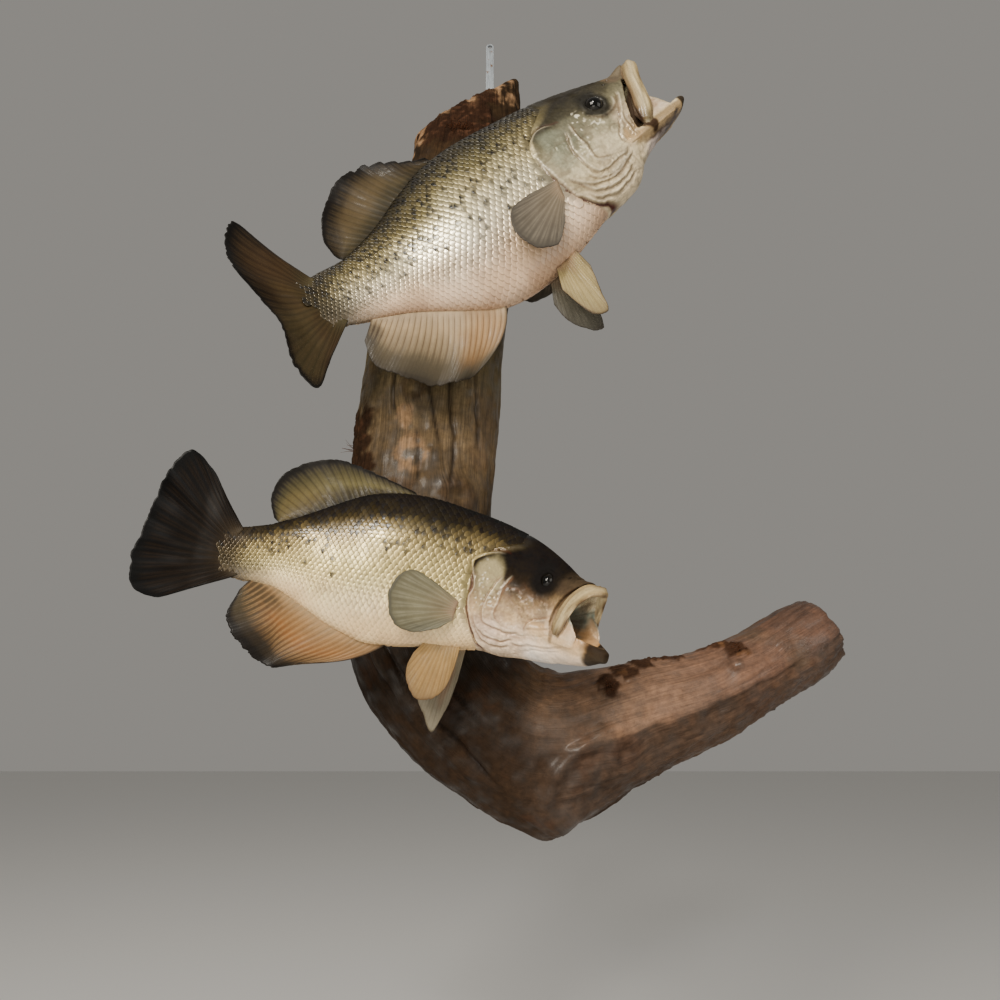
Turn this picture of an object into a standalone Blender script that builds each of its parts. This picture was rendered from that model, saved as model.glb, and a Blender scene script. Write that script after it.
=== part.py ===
"""Trophy mount: two crappies fixed one above the other on an upright driftwood limb.

Lengths are in millimetres and become metres when a mesh is made. The origin is the eye of
the hanger strap on the wall plane: +Z is up, the wall is the plane y = 0, and the mount
stands out from it towards -Y. Both fish look along +X and show their right side.

A fish is first modelled straight, in (t, h, w): t runs back from the nose, h is up and w is
across, with the right side at minus w. It is then laid along its own backbone curve.
"""

import math
from types import SimpleNamespace

import bmesh
import bpy
import numpy as np

MM = 0.001
GAP = 0.3
AROUND, RING_STEP = 20, 10
SECOND_AROUND, SECOND_RING_STEP = 16, 14

# ---- a crappie, straight: stations of (t, value) down the body ----
WIDEST = ((16, 8), (50, 2), (90, -4), (140, -8), (205, -7), (262, -4), (328, -1))
BACK_SHARPNESS = 1.2
BELLY_SHARPNESS = 0.9

HEAD_FROM, HEAD_TO = 16, 118
TRUNK_TO = 266
STEM_TO = 328

EYE_RADIUS = 7.8
EYE_INSET = 12.0

GILL_COVER = ((103, 15), (118, 23), (133, 15), (138, -2), (136.5, -20), (131, -37), (121, -50),
              (110, -43), (107, -26), (102, -6))
GILL_COVER_LIFT = 1.1
GILL_COVER_FROM = 13

FIN_ROOT, FIN_EDGE = 2.0, 0.9

# Each fin is points along its root, then points along its free margin, both from front to back.
# The face is the front of the cheeks as (t, h), from the nose down past the corner of the open mouth.
# The mouth is its hollow: t, mid height, half height, half width.
# The upper jaw is half of its band: t, h, w of the middle, half its breadth and half its thickness.
# The lower jaw is t, top, bottom, half width.
PECTORAL = (
    ((137, -20, 24.6), (139, -26, 24.2), (141, -33, 23)),
    ((162, -20, 30), (182, -26, 34), (191, -41, 36), (187, -57, 34), (172, -64, 30), (155, -52, 27)),
)
MAIN = SimpleNamespace(
    size=1.0,
    backbone=((139, -104, -147), (98, -102, -186), (45, -100, -233), (-15, -100, -278), (-69, -106, -317),
              (-106, -122, -350), (-136, -165, -384)),
    up=(-0.5, 0, 0.85),
    back=((16, 26), (24, 32.5), (41, 38.5), (55, 45), (74, 53), (104, 61), (135, 65), (170, 67), (200, 63),
          (222, 55), (243, 44), (262, 34), (290, 25), (312, 23), (328, 20)),
    belly=((16, -16), (35, -27), (52, -33), (65, -37), (80, -44), (97, -48), (112, -51), (135, -59),
           (155, -65), (182, -70), (205, -70), (222, -66), (238, -57), (260, -45), (288, -32), (308, -26.5),
           (328, -22)),
    width=((16, 8), (30, 12.5), (50, 15.5), (67, 17.5), (90, 21), (115, 24), (140, 25.5), (175, 25),
           (205, 22.5), (235, 17.5), (262, 12.5), (290, 9), (312, 6.5), (328, 3.2)),
    eye=(67, 16),
    face=((20, 44), (24, 28), (33, 12), (42, -5), (49, -17), (62, -20)),
    mouth=((-14, 6, 25, 13), (6, 6, 23.5, 12), (20, 3, 20.5, 10.8), (35, -3, 16, 9.6), (50, -8, 11, 8),
           (64, -12, 6, 4.5)),
    lower_jaw=((4, -15, -20.5, 2.6), (10, -13.5, -24, 6.2), (22, -13.5, -27.5, 9.8), (36, -15, -30.5, 12.6),
               (50, -18, -33.5, 14.6), (61.7, -20, -36.3, 15.8)),
    upper_jaw=((11.5, 29.5, 0, 5.6, 5.2), (14.5, 27, 5.5, 6.2, 4.8), (23, 16, 10.4, 8, 3.8),
               (32, 2, 13, 8.8, 3.3), (41, -11, 14.2, 8.4, 3), (46.5, -19, 14.2, 5, 2.4)),
    dorsal=(
        ((184, 64, 0), (222, 54, 0), (262, 33, 0), (286, 24.5, 0)),
        ((190, 70, 0), (202, 76, 1), (218, 82, -1), (238, 90.5, 1), (252, 88, -1), (268, 76, 1.5),
         (280, 63, -1), (290, 45, 1), (292, 31, 0)),
    ),
    anal=(
        ((214, -66, 0), (240, -54, 0), (270, -39, 0), (304, -26, 0)),
        ((219, -77, 0), (238, -89, 1.5), (256, -96, -1.5), (280, -98, 1.5), (301, -89, -1.5),
         (317, -72, 1.5), (324, -54, -1), (318, -37, 0)),
    ),
    caudal=(
        ((318, 19, 0), (325, 8, 0), (326, -7, 0), (320, -20, 0)),
        ((328, 48, 1), (346, 73, -2), (364, 56, 2), (376, 34, -2), (370, 11, 2.5), (377, -14, -2),
         (386, -41, 2), (385, -58, 1), (360, -45, 0)),
    ),
    near_pectoral=PECTORAL,
    far_pectoral=PECTORAL,
    near_pelvic=(
        ((152, -62, 5), (162, -65, 6), (172, -67, 7)),
        ((152, -79, 7), (160, -101, 9), (167, -116, 10), (173, -114, 10), (178, -99, 10), (180, -84, 9)),
    ),
    far_pelvic=(
        ((156, -62, 4), (166, -65, 5), (176, -67, 6)),
        ((157, -84, 6), (162, -104, 7), (169, -118, 8), (177, -110, 8), (184, -96, 7), (184, -82, 7)),
    ),
)
SECOND = SimpleNamespace(
    size=0.745,
    backbone=((67, -134, -567), (46, -112, -555), (10, -99, -540), (-35, -97, -528), (-88, -99, -521),
              (-124, -104, -517), (-153, -114, -518), (-189, -134, -514)),
    up=(0, 0, 1),
    back=((16, 24), (24, 28), (37, 32), (50, 37.5), (80, 49), (115, 57.5), (149, 62), (173, 65), (197, 65),
          (230, 58), (254, 46), (275, 33.5), (295, 24.5), (313, 21.5), (328, 20)),
    belly=((16, -30), (35, -43), (50, -46), (65, -48), (80, -51), (100, -52), (121, -57), (153, -62),
           (185, -66), (207, -66.5), (233, -58), (262, -44), (294, -30), (313, -25.5), (328, -22)),
    width=((16, 13), (24, 17), (35, 19.5), (50, 20.5), (67, 20.5), (90, 22.5), (115, 24.5), (140, 25.5),
           (175, 25), (205, 22.5), (235, 17.5), (262, 12.5), (290, 9), (312, 6.5), (328, 3.2)),
    eye=(58, 18.5),
    face=((15, 44), (18, 26), (24, 13), (31, 0), (38, -9), (62, -14)),
    mouth=((-20, 3, 26, 17), (4, 2, 25, 15.5), (20, 0, 21, 14), (35, -4, 16, 12), (50, -8, 11, 10),
           (64, -12, 6, 5)),
    lower_jaw=((-12, -19, -26, 3), (0, -16, -34, 8), (14, -12, -39, 13), (30, -8, -42, 16.5),
               (48, -9, -43, 18), (61.7, -11, -44, 18)),
    upper_jaw=((8, 25, 0, 5.6, 5.2), (10, 23, 7, 6.2, 4.8), (15, 13, 14, 7.5, 3.8), (22, 1, 18, 8, 3.3),
               (29, -10, 20, 7.6, 3), (34, -17, 20, 6, 2.4)),
    dorsal=(
        ((180, 62, 0), (222, 57, 0), (262, 39, 0), (288, 24, 0)),
        ((186, 68, 0), (212, 78, -1), (238, 86, 1), (260, 88, -1), (277, 82, 1.5), (290, 67, -1),
         (297, 48, 1), (294, 30, 0)),
    ),
    anal=(
        ((184, -62, 0), (226, -56, 0), (270, -38, 0), (310, -22, 0)),
        ((192, -70, 0), (222, -78, 1.5), (254, -87, -1.5), (282, -93, 1.5), (304, -89, -1.5),
         (318, -72, 1.5), (323, -52, -1), (318, -32, 0)),
    ),
    caudal=(
        ((318, 19, 0), (325, 8, 0), (326, -7, 0), (320, -20, 0)),
        ((336, 42, 1), (358, 67, -1), (374, 76, -1), (386, 60, 2), (391, 32, -2), (395, 3, 2),
         (398, -24, -2), (392, -42, 1), (376, -48, 1), (352, -36, 0)),
    ),
    near_pectoral=(
        ((128, -22, 24.6), (129, -29, 24.2), (129, -37, 23)),
        ((152, -12, 29), (172, -6, 31), (184, -14, 32), (188, -34, 32), (180, -50, 31), (162, -54, 28),
         (140, -47, 25)),
    ),
    far_pectoral=(
        ((128, -22, 24.6), (129, -29, 24.2), (129, -37, 23)),
        ((152, -12, 25), (172, -8, 25), (184, -14, 25), (188, -34, 24.5), (180, -50, 24), (162, -54, 23),
         (140, -47, 23)),
    ),
    near_pelvic=(
        ((118, -50, 5), (134, -53, 6), (150, -56, 7)),
        ((117, -72, 8), (120, -90, 11), (130, -100, 12), (144, -103, 12), (156, -94, 11), (161, -80, 10),
         (158, -68, 9)),
    ),
    far_pelvic=(
        ((114, -49, 4), (124, -52, 5), (136, -54, 6)),
        ((113, -80, 6), (116, -106, 7), (124, -125, 8), (134, -115, 8), (148, -99, 7), (146, -80, 7)),
    ),
)

# ---- driftwood: x, z of the middle, half breadth, depth from the wall ----
TRUNK = ((-17, -34, 43, 44), (-18, -120, 45, 52), (-20, -180, 47, 68), (-28, -250, 49, 76),
         (-40, -340, 52, 77), (-45, -420, 52, 77), (-48, -500, 51, 78), (-43, -555, 55, 76),
         (-19, -602, 50, 72), (14, -637, 42, 66), (50, -680, 19, 56))
BRANCH = ((-30, -590, 34, 60), (0, -614, 43, 68), (28, -630, 48, 72), (54, -631, 46, 73),
          (80, -622, 43, 71), (110, -612, 38, 68), (150, -601, 31, 64), (190, -582, 27.5, 60),
          (225, -562, 26, 54), (240, -553, 20, 44))
WOOD_SIDES = 16
BACK_WIDTH = 0.8
TOP_AT = (23, -45, -74)
TOP_SLOPE_X, TOP_SLOPE_Y = 0.72, 0.75

# ---- hanger ----
STRAP_WIDTH, STRAP_THICKNESS = 7.0, 2.0
STRAP_Y = -1.3
STRAP_BOTTOM = -112
EYE_HOLE = 4.4
SCREWS_AT = (-86, -102)
SCREW_HEAD, SCREW_SHANK, SCREW_LENGTH = 6.0, 2.8, 16


def along(stations, t):
    """The smooth curve through (t, value, ...) stations, read at t."""
    table = np.array(stations, float)
    x, y = table[:, 0], table[:, 1:]
    slope = np.gradient(y, x, axis=0)
    t = np.clip(np.atleast_1d(np.asarray(t, float)), x[0], x[-1])
    i = np.clip(np.searchsorted(x, t, side="right") - 1, 0, len(x) - 2)
    step = (x[i + 1] - x[i])[:, None]
    u = ((t - x[i]) / step[:, 0])[:, None]
    value = (
        (2 * u**3 - 3 * u**2 + 1) * y[i]
        + (u**3 - 2 * u**2 + u) * step * slope[i]
        + (3 * u**2 - 2 * u**3) * y[i + 1]
        + (u**3 - u**2) * step * slope[i + 1]
    )
    return value[:, 0] if y.shape[1] == 1 else value


def smooth_line(points, count):
    """count points, evenly spaced, on the smooth curve through the given ones."""
    points = np.array(points, float)
    chord = np.r_[0, np.cumsum(np.linalg.norm(np.diff(points, axis=0), axis=1))]
    return along(np.c_[chord, points], np.linspace(0, chord[-1], count))


def unit(vectors):
    return vectors / np.linalg.norm(vectors, axis=-1, keepdims=True)


class Backbone:
    """Lays (t, h, w) points along a fish's backbone in the world."""

    def __init__(self, fish):
        self.size = fish.size
        self.line = smooth_line(fish.backbone, 200)
        self.at = np.r_[0, np.cumsum(np.linalg.norm(np.diff(self.line, axis=0), axis=1))]
        self.back = unit(np.gradient(self.line, self.at, axis=0))
        up = unit(np.array(fish.up, float))
        self.up = unit(up - (self.back @ up)[:, None] * self.back)
        self.left = np.cross(self.back, self.up)

    def read(self, table, t):
        return np.stack([np.interp(t, self.at, table[:, k]) for k in range(3)], axis=-1)

    def place(self, points):
        t, h, w = np.moveaxis(np.asarray(points, float) * self.size, -1, 0)
        on = np.clip(t, 0, self.at[-1])
        return (
            self.read(self.line, on)
            + self.read(self.back, on) * (t - on)[..., None]
            + self.read(self.up, on) * h[..., None]
            + self.read(self.left, on) * w[..., None]
        )


# ---- Blender helpers ----
def clear_scene():
    for obj in list(bpy.data.objects):
        bpy.data.objects.remove(obj, do_unlink=True)


def collection(name):
    made = bpy.data.collections.new(name)
    bpy.context.scene.collection.children.link(made)
    return made


def material(name, colour, roughness, metallic=0.0):
    made = bpy.data.materials.new(name)
    made.use_nodes = True
    shader = made.node_tree.nodes["Principled BSDF"]
    shader.inputs["Base Color"].default_value = (*colour, 1)
    shader.inputs["Roughness"].default_value = roughness
    shader.inputs["Metallic"].default_value = metallic
    return made


def finish(name, bm, finish_material, group):
    """A new object from bm. Bent faces are made triangles, as a Boolean takes each face to be flat."""
    bmesh.ops.recalc_face_normals(bm, faces=bm.faces[:])
    bmesh.ops.triangulate(bm, faces=bm.faces[:])
    if bm.calc_volume(signed=True) < 0:
        bmesh.ops.reverse_faces(bm, faces=bm.faces[:])
    mesh = bpy.data.meshes.new(name)
    bm.to_mesh(mesh)
    bm.free()
    mesh.shade_smooth()
    mesh.set_sharp_from_angle(angle=math.radians(40))
    obj = bpy.data.objects.new(name, mesh)
    group.objects.link(obj)
    if finish_material:
        mesh.materials.append(finish_material)
    else:
        obj.hide_render = True
        obj.display_type = "WIRE"
    return obj


def end_faces(ring, blade):
    """The faces that close a loft's end: one flat face, or a strip of quads across a blade's thickness."""
    if not blade:
        return [tuple(ring)]
    last = len(ring) - 1
    return [(ring[k], ring[k + 1], ring[last - k - 1], ring[last - k]) for k in range(len(ring) // 2 - 1)]


def loft(name, rings, finish_material=None, group=None, blade=False):
    """A closed skin over rings of world points. Without a material it is a cutter."""
    bm = bmesh.new()
    rows = [[bm.verts.new(point * MM) for point in ring] for ring in rings]
    for near, far in zip(rows, rows[1:]):
        for i in range(len(near)):
            j = (i + 1) % len(near)
            bm.faces.new((near[i], near[j], far[j], far[i]))
    for ring in (rows[0], rows[-1]):
        for corners in end_faces(ring, blade):
            bm.faces.new(corners)
    return finish(name, bm, finish_material, group or CUTTERS)


def boolean(obj, other, operation="DIFFERENCE"):
    step = obj.modifiers.new(f"{operation.lower()} {other.name}", "BOOLEAN")
    step.object = other
    step.operation = operation
    return obj


# ---- fish ----
def body_ring(fish, t, grow, sides):
    angle = np.linspace(0, 2 * math.pi, sides, endpoint=False)
    rise, reach = np.sin(angle), np.cos(angle)
    middle = along(WIDEST, t)
    above = along(fish.back, t) - middle + grow
    below = middle - along(fish.belly, t) + grow
    h = middle + np.where(rise > 0, above, below) * rise
    sharpness = np.where(rise > 0, BACK_SHARPNESS, BELLY_SHARPNESS)
    w = (along(fish.width, t) + grow) * np.sign(reach) * np.abs(reach) ** sharpness
    return np.stack([np.full(sides, float(t)), h, w], axis=-1)


def body_rings(fish, start, stop, step=RING_STEP, grow=0.0, sides=AROUND):
    count = max(2, round((stop - start) / step) + 1)
    return [body_ring(fish, t, grow, sides) for t in np.linspace(start, stop, count)]


def side_prism(outline, inner, outer, grow=0.0):
    """Two rings that make a prism across the fish, over an outline in (t, h), grown by grow."""
    outline = np.array(outline, float)
    centre = outline.mean(axis=0)
    outline = outline + unit(outline - centre) * grow
    return [np.c_[outline, np.full(len(outline), w)] for w in (inner, outer)]


def face_outline(fish):
    """All that lies in front of the cheeks and of the jaw joint, as an outline in (t, h)."""
    return (*fish.face, (fish.face[-1][0], -90), (-30, -90), (-30, 80), (fish.face[0][0], 80))


def mouth_rings(fish, sides=12):
    angle = np.linspace(0, 2 * math.pi, sides, endpoint=False)
    rings = []
    for t, middle, half_height, half_width in fish.mouth:
        h = middle + half_height * np.sin(angle)
        rings.append(np.c_[np.full(sides, t), h, half_width * np.cos(angle)])
    return rings


def upper_jaw_rings(fish, grow=0.0, sides=10, count=17):
    """The horseshoe band of the upper jaw, from one corner of the mouth over the nose to the other."""
    half = np.array(fish.upper_jaw, float)
    mirrored = half[:0:-1] * (1, 1, -1, 1, 1)
    line = smooth_line(np.vstack([mirrored, half])[:, :3], count)
    sizes = smooth_line(np.vstack([mirrored, half]), count)[:, 3:]
    tangent = unit(np.gradient(line, axis=0))
    backward = np.array((0.87, 0.49, 0.0))
    breadth = unit(backward - (tangent @ backward)[:, None] * tangent)
    depth = np.cross(tangent, breadth)
    angle = np.linspace(0, 2 * math.pi, sides, endpoint=False)
    return [
        line[i]
        + np.outer(np.cos(angle) * (sizes[i, 0] + grow), breadth[i])
        + np.outer(np.sin(angle) * (sizes[i, 1] + grow), depth[i])
        for i in range(count)
    ]


def lower_jaw_rings(fish, sides=14, root=0.0):
    """The boat-shaped lower jaw, which reaches root beyond its joint where the fish is one solid."""
    angle = np.linspace(0, 2 * math.pi, sides, endpoint=False)
    front, joint = fish.lower_jaw[0][0], fish.lower_jaw[-1][0]
    rings = []
    for t in np.linspace(front, joint, 9):
        top, bottom, half_width = along(fish.lower_jaw, t)[0]
        h = (top + bottom) / 2 + (top - bottom) / 2 * np.sin(angle)
        rings.append(np.c_[np.full(sides, t), h, half_width * np.cos(angle)])
    if root:
        middle = rings[-1].mean(axis=0)
        rings.append(middle + (rings[-1] - middle) * 0.7 + (root, 0, 0))
    return rings


def fin_surface(root, margin, rays, steps, bow=0.0):
    """The middle sheet of a fin, from root to margin, as a (rays, steps, 3) grid of (t, h, w)."""
    start = smooth_line(root, rays)
    end = smooth_line(margin, rays)
    v = np.linspace(0, 1, steps)[None, :, None]
    sheet = start[:, None] * (1 - v) + end[:, None] * v
    sheet[..., 2] += bow * np.sin(v[..., 0] * math.pi)
    return sheet


def fin(name, backbone, shape, finish_material, group, side=1, rays=14, steps=5, bow=0.0):
    """A closed fin blade, thick at the root and thin at the margin."""
    sheet = fin_surface(*shape, rays, steps, bow) * (1, 1, side)
    normal = unit(np.cross(np.gradient(sheet, axis=0), np.gradient(sheet, axis=1)))
    thick = np.linspace(FIN_ROOT, FIN_EDGE, steps)[None, :, None] / 2 / backbone.size
    front = backbone.place(sheet + normal * thick)
    behind = backbone.place(sheet - normal * thick)
    rings = [np.vstack([front[i], behind[i][::-1]]) for i in range(rays)]
    return loft(name, rings, finish_material, group, blade=True)


def eye(name, fish, bone, side, grow, finish_material=None, group=None):
    centre = bone.place(np.array((*fish.eye, side * EYE_INSET)))
    bm = bmesh.new()
    bmesh.ops.create_uvsphere(bm, u_segments=12, v_segments=8, radius=(EYE_RADIUS * fish.size + grow) * MM)
    bmesh.ops.translate(bm, verts=bm.verts[:], vec=centre * MM)
    return finish(name, bm, finish_material, group or CUTTERS)


def main_fish(fish, group):
    """The upper fish, in its parts. Returns the body's space, with the gap, for what it rests on."""
    bone = Backbone(fish)
    flesh = material("fish_flesh", (0.45, 0.43, 0.33), 0.35)
    lips = material("jaw_skin", (0.62, 0.52, 0.33), 0.35)
    gill = material("gill_plate", (0.55, 0.53, 0.42), 0.3)
    web = material("fin_web", (0.30, 0.22, 0.12), 0.45)
    glass = material("eye_glass", (0.01, 0.01, 0.01), 0.05)

    whole = loft("body_space", bone.place(body_rings(fish, HEAD_FROM, STEM_TO, grow=GAP)))
    face = loft("face_space", bone.place(side_prism(face_outline(fish), -60, 60)))
    mouth = loft("mouth_space", bone.place(mouth_rings(fish)))
    jaw_space = loft("upper_jaw_space", bone.place(upper_jaw_rings(fish, grow=GAP)))

    head = loft("head", bone.place(body_rings(fish, HEAD_FROM, HEAD_TO)), flesh, group)
    trunk = loft("trunk", bone.place(body_rings(fish, HEAD_TO + GAP, TRUNK_TO)), flesh, group)
    loft("tail_stem", bone.place(body_rings(fish, TRUNK_TO + GAP, STEM_TO)), flesh, group)
    boolean(boolean(head, face), mouth)
    boolean(head, jaw_space)
    loft("upper_jaw", bone.place(upper_jaw_rings(fish)), lips, group)
    lower = loft("lower_jaw", bone.place(lower_jaw_rings(fish)), lips, group)
    boolean(boolean(lower, mouth), jaw_space)

    for word, side in (("right", -1), ("left", 1)):
        plate_rings = body_rings(fish, 94, 148, 9, GILL_COVER_LIFT)
        plate = loft(f"gill_cover_{word}", bone.place(plate_rings), gill, group)
        outline = side_prism(GILL_COVER, side * GILL_COVER_FROM, side * 60)
        boolean(plate, loft(f"gill_outline_{word}", bone.place(outline)), "INTERSECT")
        seat = side_prism(GILL_COVER, side * (GILL_COVER_FROM - GAP), side * 60, GAP)
        seat = loft(f"gill_seat_{word}", bone.place(seat))
        boolean(head, seat)
        boolean(trunk, seat)
        eye(f"eye_{word}", fish, bone, side, 0, glass, group)
        boolean(head, eye(f"eye_socket_{word}", fish, bone, side, GAP))

    for name, shape, side in paired_fins(fish):
        word = "right" if side < 0 else "left"
        boolean(fin(f"{name}_fin_{word}", bone, shape, web, group, side, 8, 3), whole)
    for name, shape, bow in middle_fins(fish):
        boolean(fin(f"{name}_fin", bone, shape, web, group, 1, 14, 4, bow), whole)
    return whole


def second_fish(fish, group):
    """The lower fish, as one solid. Returns its body's space, with the gap, for what it rests on."""
    bone = Backbone(fish)
    flesh = material("second_fish", (0.42, 0.40, 0.28), 0.38)
    body_surface = body_rings(fish, HEAD_FROM, STEM_TO, SECOND_RING_STEP, 0, SECOND_AROUND)
    body = loft("second_fish", bone.place(body_surface), flesh, group)
    boolean(body, loft("second_face_space", bone.place(side_prism(face_outline(fish), -60, 60))))
    mouth = loft("second_mouth_space", bone.place(mouth_rings(fish)))
    lower = loft("second_lower_jaw", bone.place(lower_jaw_rings(fish, 10, root=9)))
    boolean(boolean(body, mouth), boolean(lower, mouth), "UNION")
    boolean(body, loft("second_upper_jaw", bone.place(upper_jaw_rings(fish, 0, 8, 11))), "UNION")
    for side in (-1, 1):
        boolean(body, eye(f"second_eye_{side}", fish, bone, side, 0), "UNION")
    for name, shape, side in paired_fins(fish):
        boolean(body, fin(f"second_{name}_{side}", bone, shape, None, None, side, 8, 3), "UNION")
    for name, shape, bow in middle_fins(fish):
        boolean(body, fin(f"second_{name}", bone, shape, None, None, 1, 11, 4, bow), "UNION")
    grow = GAP / fish.size
    space_rings = body_rings(fish, HEAD_FROM, STEM_TO, SECOND_RING_STEP, grow, SECOND_AROUND)
    return loft("second_body_space", bone.place(space_rings))


def paired_fins(fish):
    return (
        ("pectoral", fish.near_pectoral, -1),
        ("pectoral", fish.far_pectoral, 1),
        ("pelvic", fish.near_pelvic, -1),
        ("pelvic", fish.far_pelvic, 1),
    )


def middle_fins(fish):
    return ("dorsal", fish.dorsal, 2), ("anal", fish.anal, -2), ("caudal", fish.caudal, 3)


# ---- driftwood ----
def limb_rings(limb, step):
    """Rings across a limb that lies along the wall: round in front, with the wall side sawn flat."""
    limb = np.array(limb, float)
    length = np.linalg.norm(np.diff(limb[:, :2], axis=0), axis=1).sum()
    line = smooth_line(limb, round(length / step) + 1)
    run = unit(np.gradient(line[:, :2], axis=0))
    across = np.stack([-run[:, 1], run[:, 0]], axis=-1)
    low = -math.acos(BACK_WIDTH)
    angle = np.linspace(low, math.pi - low, WOOD_SIDES)
    rings = []
    for (x, z, half, depth), side in zip(line, across):
        seat = 0.45 * depth
        out = np.where(np.sin(angle) > 0, depth - seat, seat / math.sin(-low)) * np.sin(angle)
        swell = 1 + 0.025 * np.sin(3 * angle + z * 0.02) + 0.02 * np.sin(5 * angle - x * 0.03)
        reach = half * np.cos(angle) * swell
        rings.append(np.stack([x + reach * side[0], -seat - out, z + reach * side[1]], axis=-1))
    for ring in rings:
        ring[[0, -1], 1] = 0.0
    return rings


def block(name, low, high):
    bm = bmesh.new()
    size = np.subtract(high, low) * MM
    bmesh.ops.create_cube(bm, size=1)
    bmesh.ops.scale(bm, vec=size, verts=bm.verts[:])
    bmesh.ops.translate(bm, vec=np.add(high, low) / 2 * MM, verts=bm.verts[:])
    return finish(name, bm, None, CUTTERS)


def rod(name, radius, y_from, y_to, z, finish_material=None, group=None, sides=10):
    """A round bar along Y at x = 0."""
    angle = np.linspace(0, 2 * math.pi, sides, endpoint=False)
    circle = np.stack([radius * np.cos(angle), np.zeros(sides), z + radius * np.sin(angle)], axis=-1)
    rings = [circle + (0, y, 0) for y in (y_from, y_to)]
    return loft(name, rings, finish_material, group)


def top_cutter():
    """A sheet of space over the slanting, weathered top of the trunk."""
    rings = []
    for rise in (0, 120):
        corners = []
        for x, y in ((-120, -120), (120, -120), (120, 40), (-120, 40)):
            z = TOP_AT[2] + (x - TOP_AT[0]) * TOP_SLOPE_X + (y - TOP_AT[1]) * TOP_SLOPE_Y
            corners.append((x, y, z + rise))
        rings.append(np.array(corners, float))
    return loft("top_space", rings)


def driftwood(group, fish_spaces):
    bark = material("driftwood", (0.16, 0.08, 0.035), 0.42)
    wood = loft("driftwood", limb_rings(TRUNK, 30), bark, group)
    boolean(wood, loft("branch", limb_rings(BRANCH, 26)), "UNION")
    boolean(wood, top_cutter())
    half = STRAP_WIDTH / 2 + GAP
    deep = STRAP_Y - STRAP_THICKNESS - GAP
    boolean(wood, block("strap_recess", (-half, deep, STRAP_BOTTOM - GAP), (half, 5, 0)))
    for number, z in enumerate(SCREWS_AT, 1):
        hole = rod(f"screw_hole_{number}", SCREW_SHANK / 2 + GAP, deep - SCREW_LENGTH, 5, z)
        boolean(wood, hole)
    for space in fish_spaces:
        boolean(wood, space)
    return wood


def hanger(group):
    steel = material("hanger_steel", (0.55, 0.55, 0.56), 0.35, 1.0)
    half = STRAP_WIDTH / 2
    round_end = [(half * math.cos(a), half * math.sin(a)) for a in np.linspace(0, math.pi, 9)]
    outline = np.array([*round_end, (-half, STRAP_BOTTOM), (half, STRAP_BOTTOM)])
    rings = [
        np.stack([outline[:, 0], np.full(len(outline), y), outline[:, 1]], axis=-1)
        for y in (STRAP_Y, STRAP_Y - STRAP_THICKNESS)
    ]
    strap = loft("hanger_strap", rings, steel, group)
    boolean(strap, rod("hanger_eye_hole", EYE_HOLE / 2, -10, 5, 0))
    for number, z in enumerate(SCREWS_AT, 1):
        boolean(strap, rod(f"strap_hole_{number}", SCREW_SHANK / 2 + GAP, -10, 5, z))
        screw = rod(f"hanger_screw_{number}", SCREW_HEAD / 2, -GAP, STRAP_Y + GAP, z, steel, group)
        shank_to = STRAP_Y - STRAP_THICKNESS - SCREW_LENGTH + GAP
        boolean(screw, rod(f"screw_shank_{number}", SCREW_SHANK / 2, -GAP * 2, shank_to, z), "UNION")


clear_scene()
MOUNT = collection("mounted trophy fish")
CUTTERS = collection("cutters")
spaces = main_fish(MAIN, MOUNT), second_fish(SECOND, MOUNT)
driftwood(MOUNT, spaces)
hanger(MOUNT)
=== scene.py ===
"""Looks of the mounted trophy fish: two varnished crappies on driftwood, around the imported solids.

Lengths are in millimetres, in the frame of the solids, and become metres when a mesh is made. Each fish
is first shaped straight, in (t, h, w): t runs back from the nose, h is up and w is across, with the right
side at minus w. Its skin is the zero surface of a distance field on a grid. Skin, scales, fins and eyes are
then laid along the fish's backbone curve.
"""

import math
from types import SimpleNamespace

import bpy
import numpy as np
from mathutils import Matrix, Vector


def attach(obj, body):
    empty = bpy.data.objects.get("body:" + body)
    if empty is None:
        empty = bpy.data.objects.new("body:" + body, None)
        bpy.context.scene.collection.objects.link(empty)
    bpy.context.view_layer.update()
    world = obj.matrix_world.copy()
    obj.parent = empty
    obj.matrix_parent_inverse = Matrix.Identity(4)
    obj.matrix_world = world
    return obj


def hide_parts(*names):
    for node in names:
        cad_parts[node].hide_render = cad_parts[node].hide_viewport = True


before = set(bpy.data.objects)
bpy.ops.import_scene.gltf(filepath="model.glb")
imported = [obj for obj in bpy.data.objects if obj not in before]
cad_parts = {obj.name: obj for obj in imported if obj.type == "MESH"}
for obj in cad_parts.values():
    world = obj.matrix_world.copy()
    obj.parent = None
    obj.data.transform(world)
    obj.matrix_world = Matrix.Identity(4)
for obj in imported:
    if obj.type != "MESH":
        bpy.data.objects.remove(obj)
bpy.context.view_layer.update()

MM = 0.001
AMBER = (1.0, 0.985, 0.92)

# ---- a crappie, straight: stations of (t, value) down the body, as in the solids ----
# Distances are capped at FAR. The middles of the eyes stand EYE_INSET off the middle of the fish. The skin
# lies HEAD_DEPTH inside the solids on the head, and COAT_DEPTH inside them under the scales.
WIDEST = ((16, 8), (50, 2), (90, -4), (140, -8), (205, -7), (262, -4), (328, -1))
BACK_SHARPNESS = 1.2
BELLY_SHARPNESS = 0.9
STEM_TO = 328
FAR = 14
BAND_STEPS = 64
TAIL_SCALES_TO = 340
EYE_RADIUS = 7.8
EYE_INSET = 12.0
HEAD_DEPTH, COAT_DEPTH = 0.12, 0.8
SCALE_LEAN = 0.10
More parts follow.
